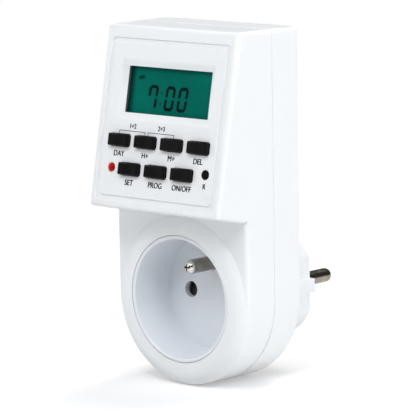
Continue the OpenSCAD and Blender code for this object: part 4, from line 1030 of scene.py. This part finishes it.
def floor_material():
    """White for the camera, with the object's shadow left in it near the object."""
    material, tree, shader = new_material("floor_white")
    link = tree.links.new
    place = add_node(tree, "ShaderNodeTexCoord")
    far = add_node(tree, "ShaderNodeVectorMath", operation="LENGTH")
    fade = add_node(tree, "ShaderNodeMapRange",
                    {"From Min": SHADOW_FADE[0], "From Max": SHADOW_FADE[1]},
                    interpolation_type="SMOOTHSTEP")
    path = add_node(tree, "ShaderNodeLightPath")
    seen = maths(tree, "ADD", path.outputs["Is Camera Ray"], path.outputs["Is Glossy Ray"])
    seen = maths(tree, "ADD", seen, path.outputs["Is Transmission Ray"])
    glow = add_node(tree, "ShaderNodeEmission", {"Strength": 1.0})
    near_glow = add_node(tree, "ShaderNodeEmission", {"Strength": 0.34})
    near_white = add_node(tree, "ShaderNodeBsdfDiffuse", {"Color": (0.70, 0.70, 0.705, 1)})
    near = add_node(tree, "ShaderNodeAddShader")
    whole = add_node(tree, "ShaderNodeMixShader")
    last = add_node(tree, "ShaderNodeMixShader")
    out = tree.nodes["Material Output"]
    shader.inputs["Base Color"].default_value = (0.8, 0.8, 0.8, 1)
    shader.inputs["Roughness"].default_value = 0.25
    shader.inputs["Specular IOR Level"].default_value = 0.25
    link(place.outputs["Object"], far.inputs[0])
    link(far.outputs["Value"], fade.inputs["Value"])
    link(near_white.outputs[0], near.inputs[0])
    link(near_glow.outputs[0], near.inputs[1])
    link(fade.outputs["Result"], whole.inputs[0])
    link(near.outputs[0], whole.inputs[1])
    link(glow.outputs[0], whole.inputs[2])
    link(seen, last.inputs[0])
    link(shader.outputs[0], last.inputs[1])
    link(whole.outputs[0], last.inputs[2])
    link(last.outputs[0], out.inputs["Surface"])
    return material


floor_mesh = bpy.data.meshes.new("floor")
corners = [(x * FLOOR_HALF, y * FLOOR_HALF, FLOOR_Z)
           for x, y in ((-1, -1), (1, -1), (1, 1), (-1, 1))]
floor_mesh.from_pydata(corners, [], [(0, 1, 2, 3)])
floor_mesh.materials.append(floor_material())
floor = bpy.data.objects.new("floor", floor_mesh)
bpy.context.scene.collection.objects.link(floor)
print("floor at z", round(FLOOR_Z, 4))

# %% World and lamps


def world_light():
    """A soft grey-white room that the camera sees as plain white."""
    world = bpy.data.worlds.new("studio")
    world.use_nodes = True
    bpy.context.scene.world = world
    tree = world.node_tree
    tree.nodes.clear()
    link = tree.links.new
    path = add_node(tree, "ShaderNodeLightPath")
    seen = maths(tree, "ADD", path.outputs["Is Camera Ray"], path.outputs["Is Transmission Ray"])
    room = add_node(tree, "ShaderNodeBackground", {"Color": (0.93, 0.96, 1.0, 1), "Strength": 0.06})
    white = add_node(tree, "ShaderNodeBackground", {"Color": (1, 1, 1, 1), "Strength": 1.0})
    mix = add_node(tree, "ShaderNodeMixShader")
    out = add_node(tree, "ShaderNodeOutputWorld")
    link(seen, mix.inputs[0])
    link(room.outputs[0], mix.inputs[1])
    link(white.outputs[0], mix.inputs[2])
    link(mix.outputs[0], out.inputs["Surface"])


MIDDLE = Vector((0.0, -0.03, 0.03))


def softbox(name, at, width, height, watts):
    """A rectangular area lamp that faces the middle of the object."""
    lamp = bpy.data.lights.new(name, "AREA")
    lamp.shape, lamp.size, lamp.size_y = "RECTANGLE", width, height
    lamp.energy = watts
    obj = bpy.data.objects.new(name, lamp)
    obj.location = at
    obj.rotation_euler = (MIDDLE - Vector(at)).to_track_quat("-Z", "Y").to_euler()
    bpy.context.scene.collection.objects.link(obj)


world_light()
softbox("key_box", (0.6, -0.8, 0.9), 0.35, 0.35, 3.0)
softbox("middle_box", (0.15, -0.75, 0.95), 0.6, 0.6, 4.8)
softbox("right_box", (1.1, -0.05, 0.45), 0.8, 0.9, 7.2)
softbox("top_box", (0.05, 0.45, 0.95), 0.6, 0.6, 7.4)
softbox("front_box", (-0.35, -1.1, 0.5), 0.8, 0.8, 2.1)
softbox("left_box", (-1.0, -0.55, 0.6), 0.7, 0.7, 3.0)
bpy.context.scene.view_settings.view_transform = "Standard"
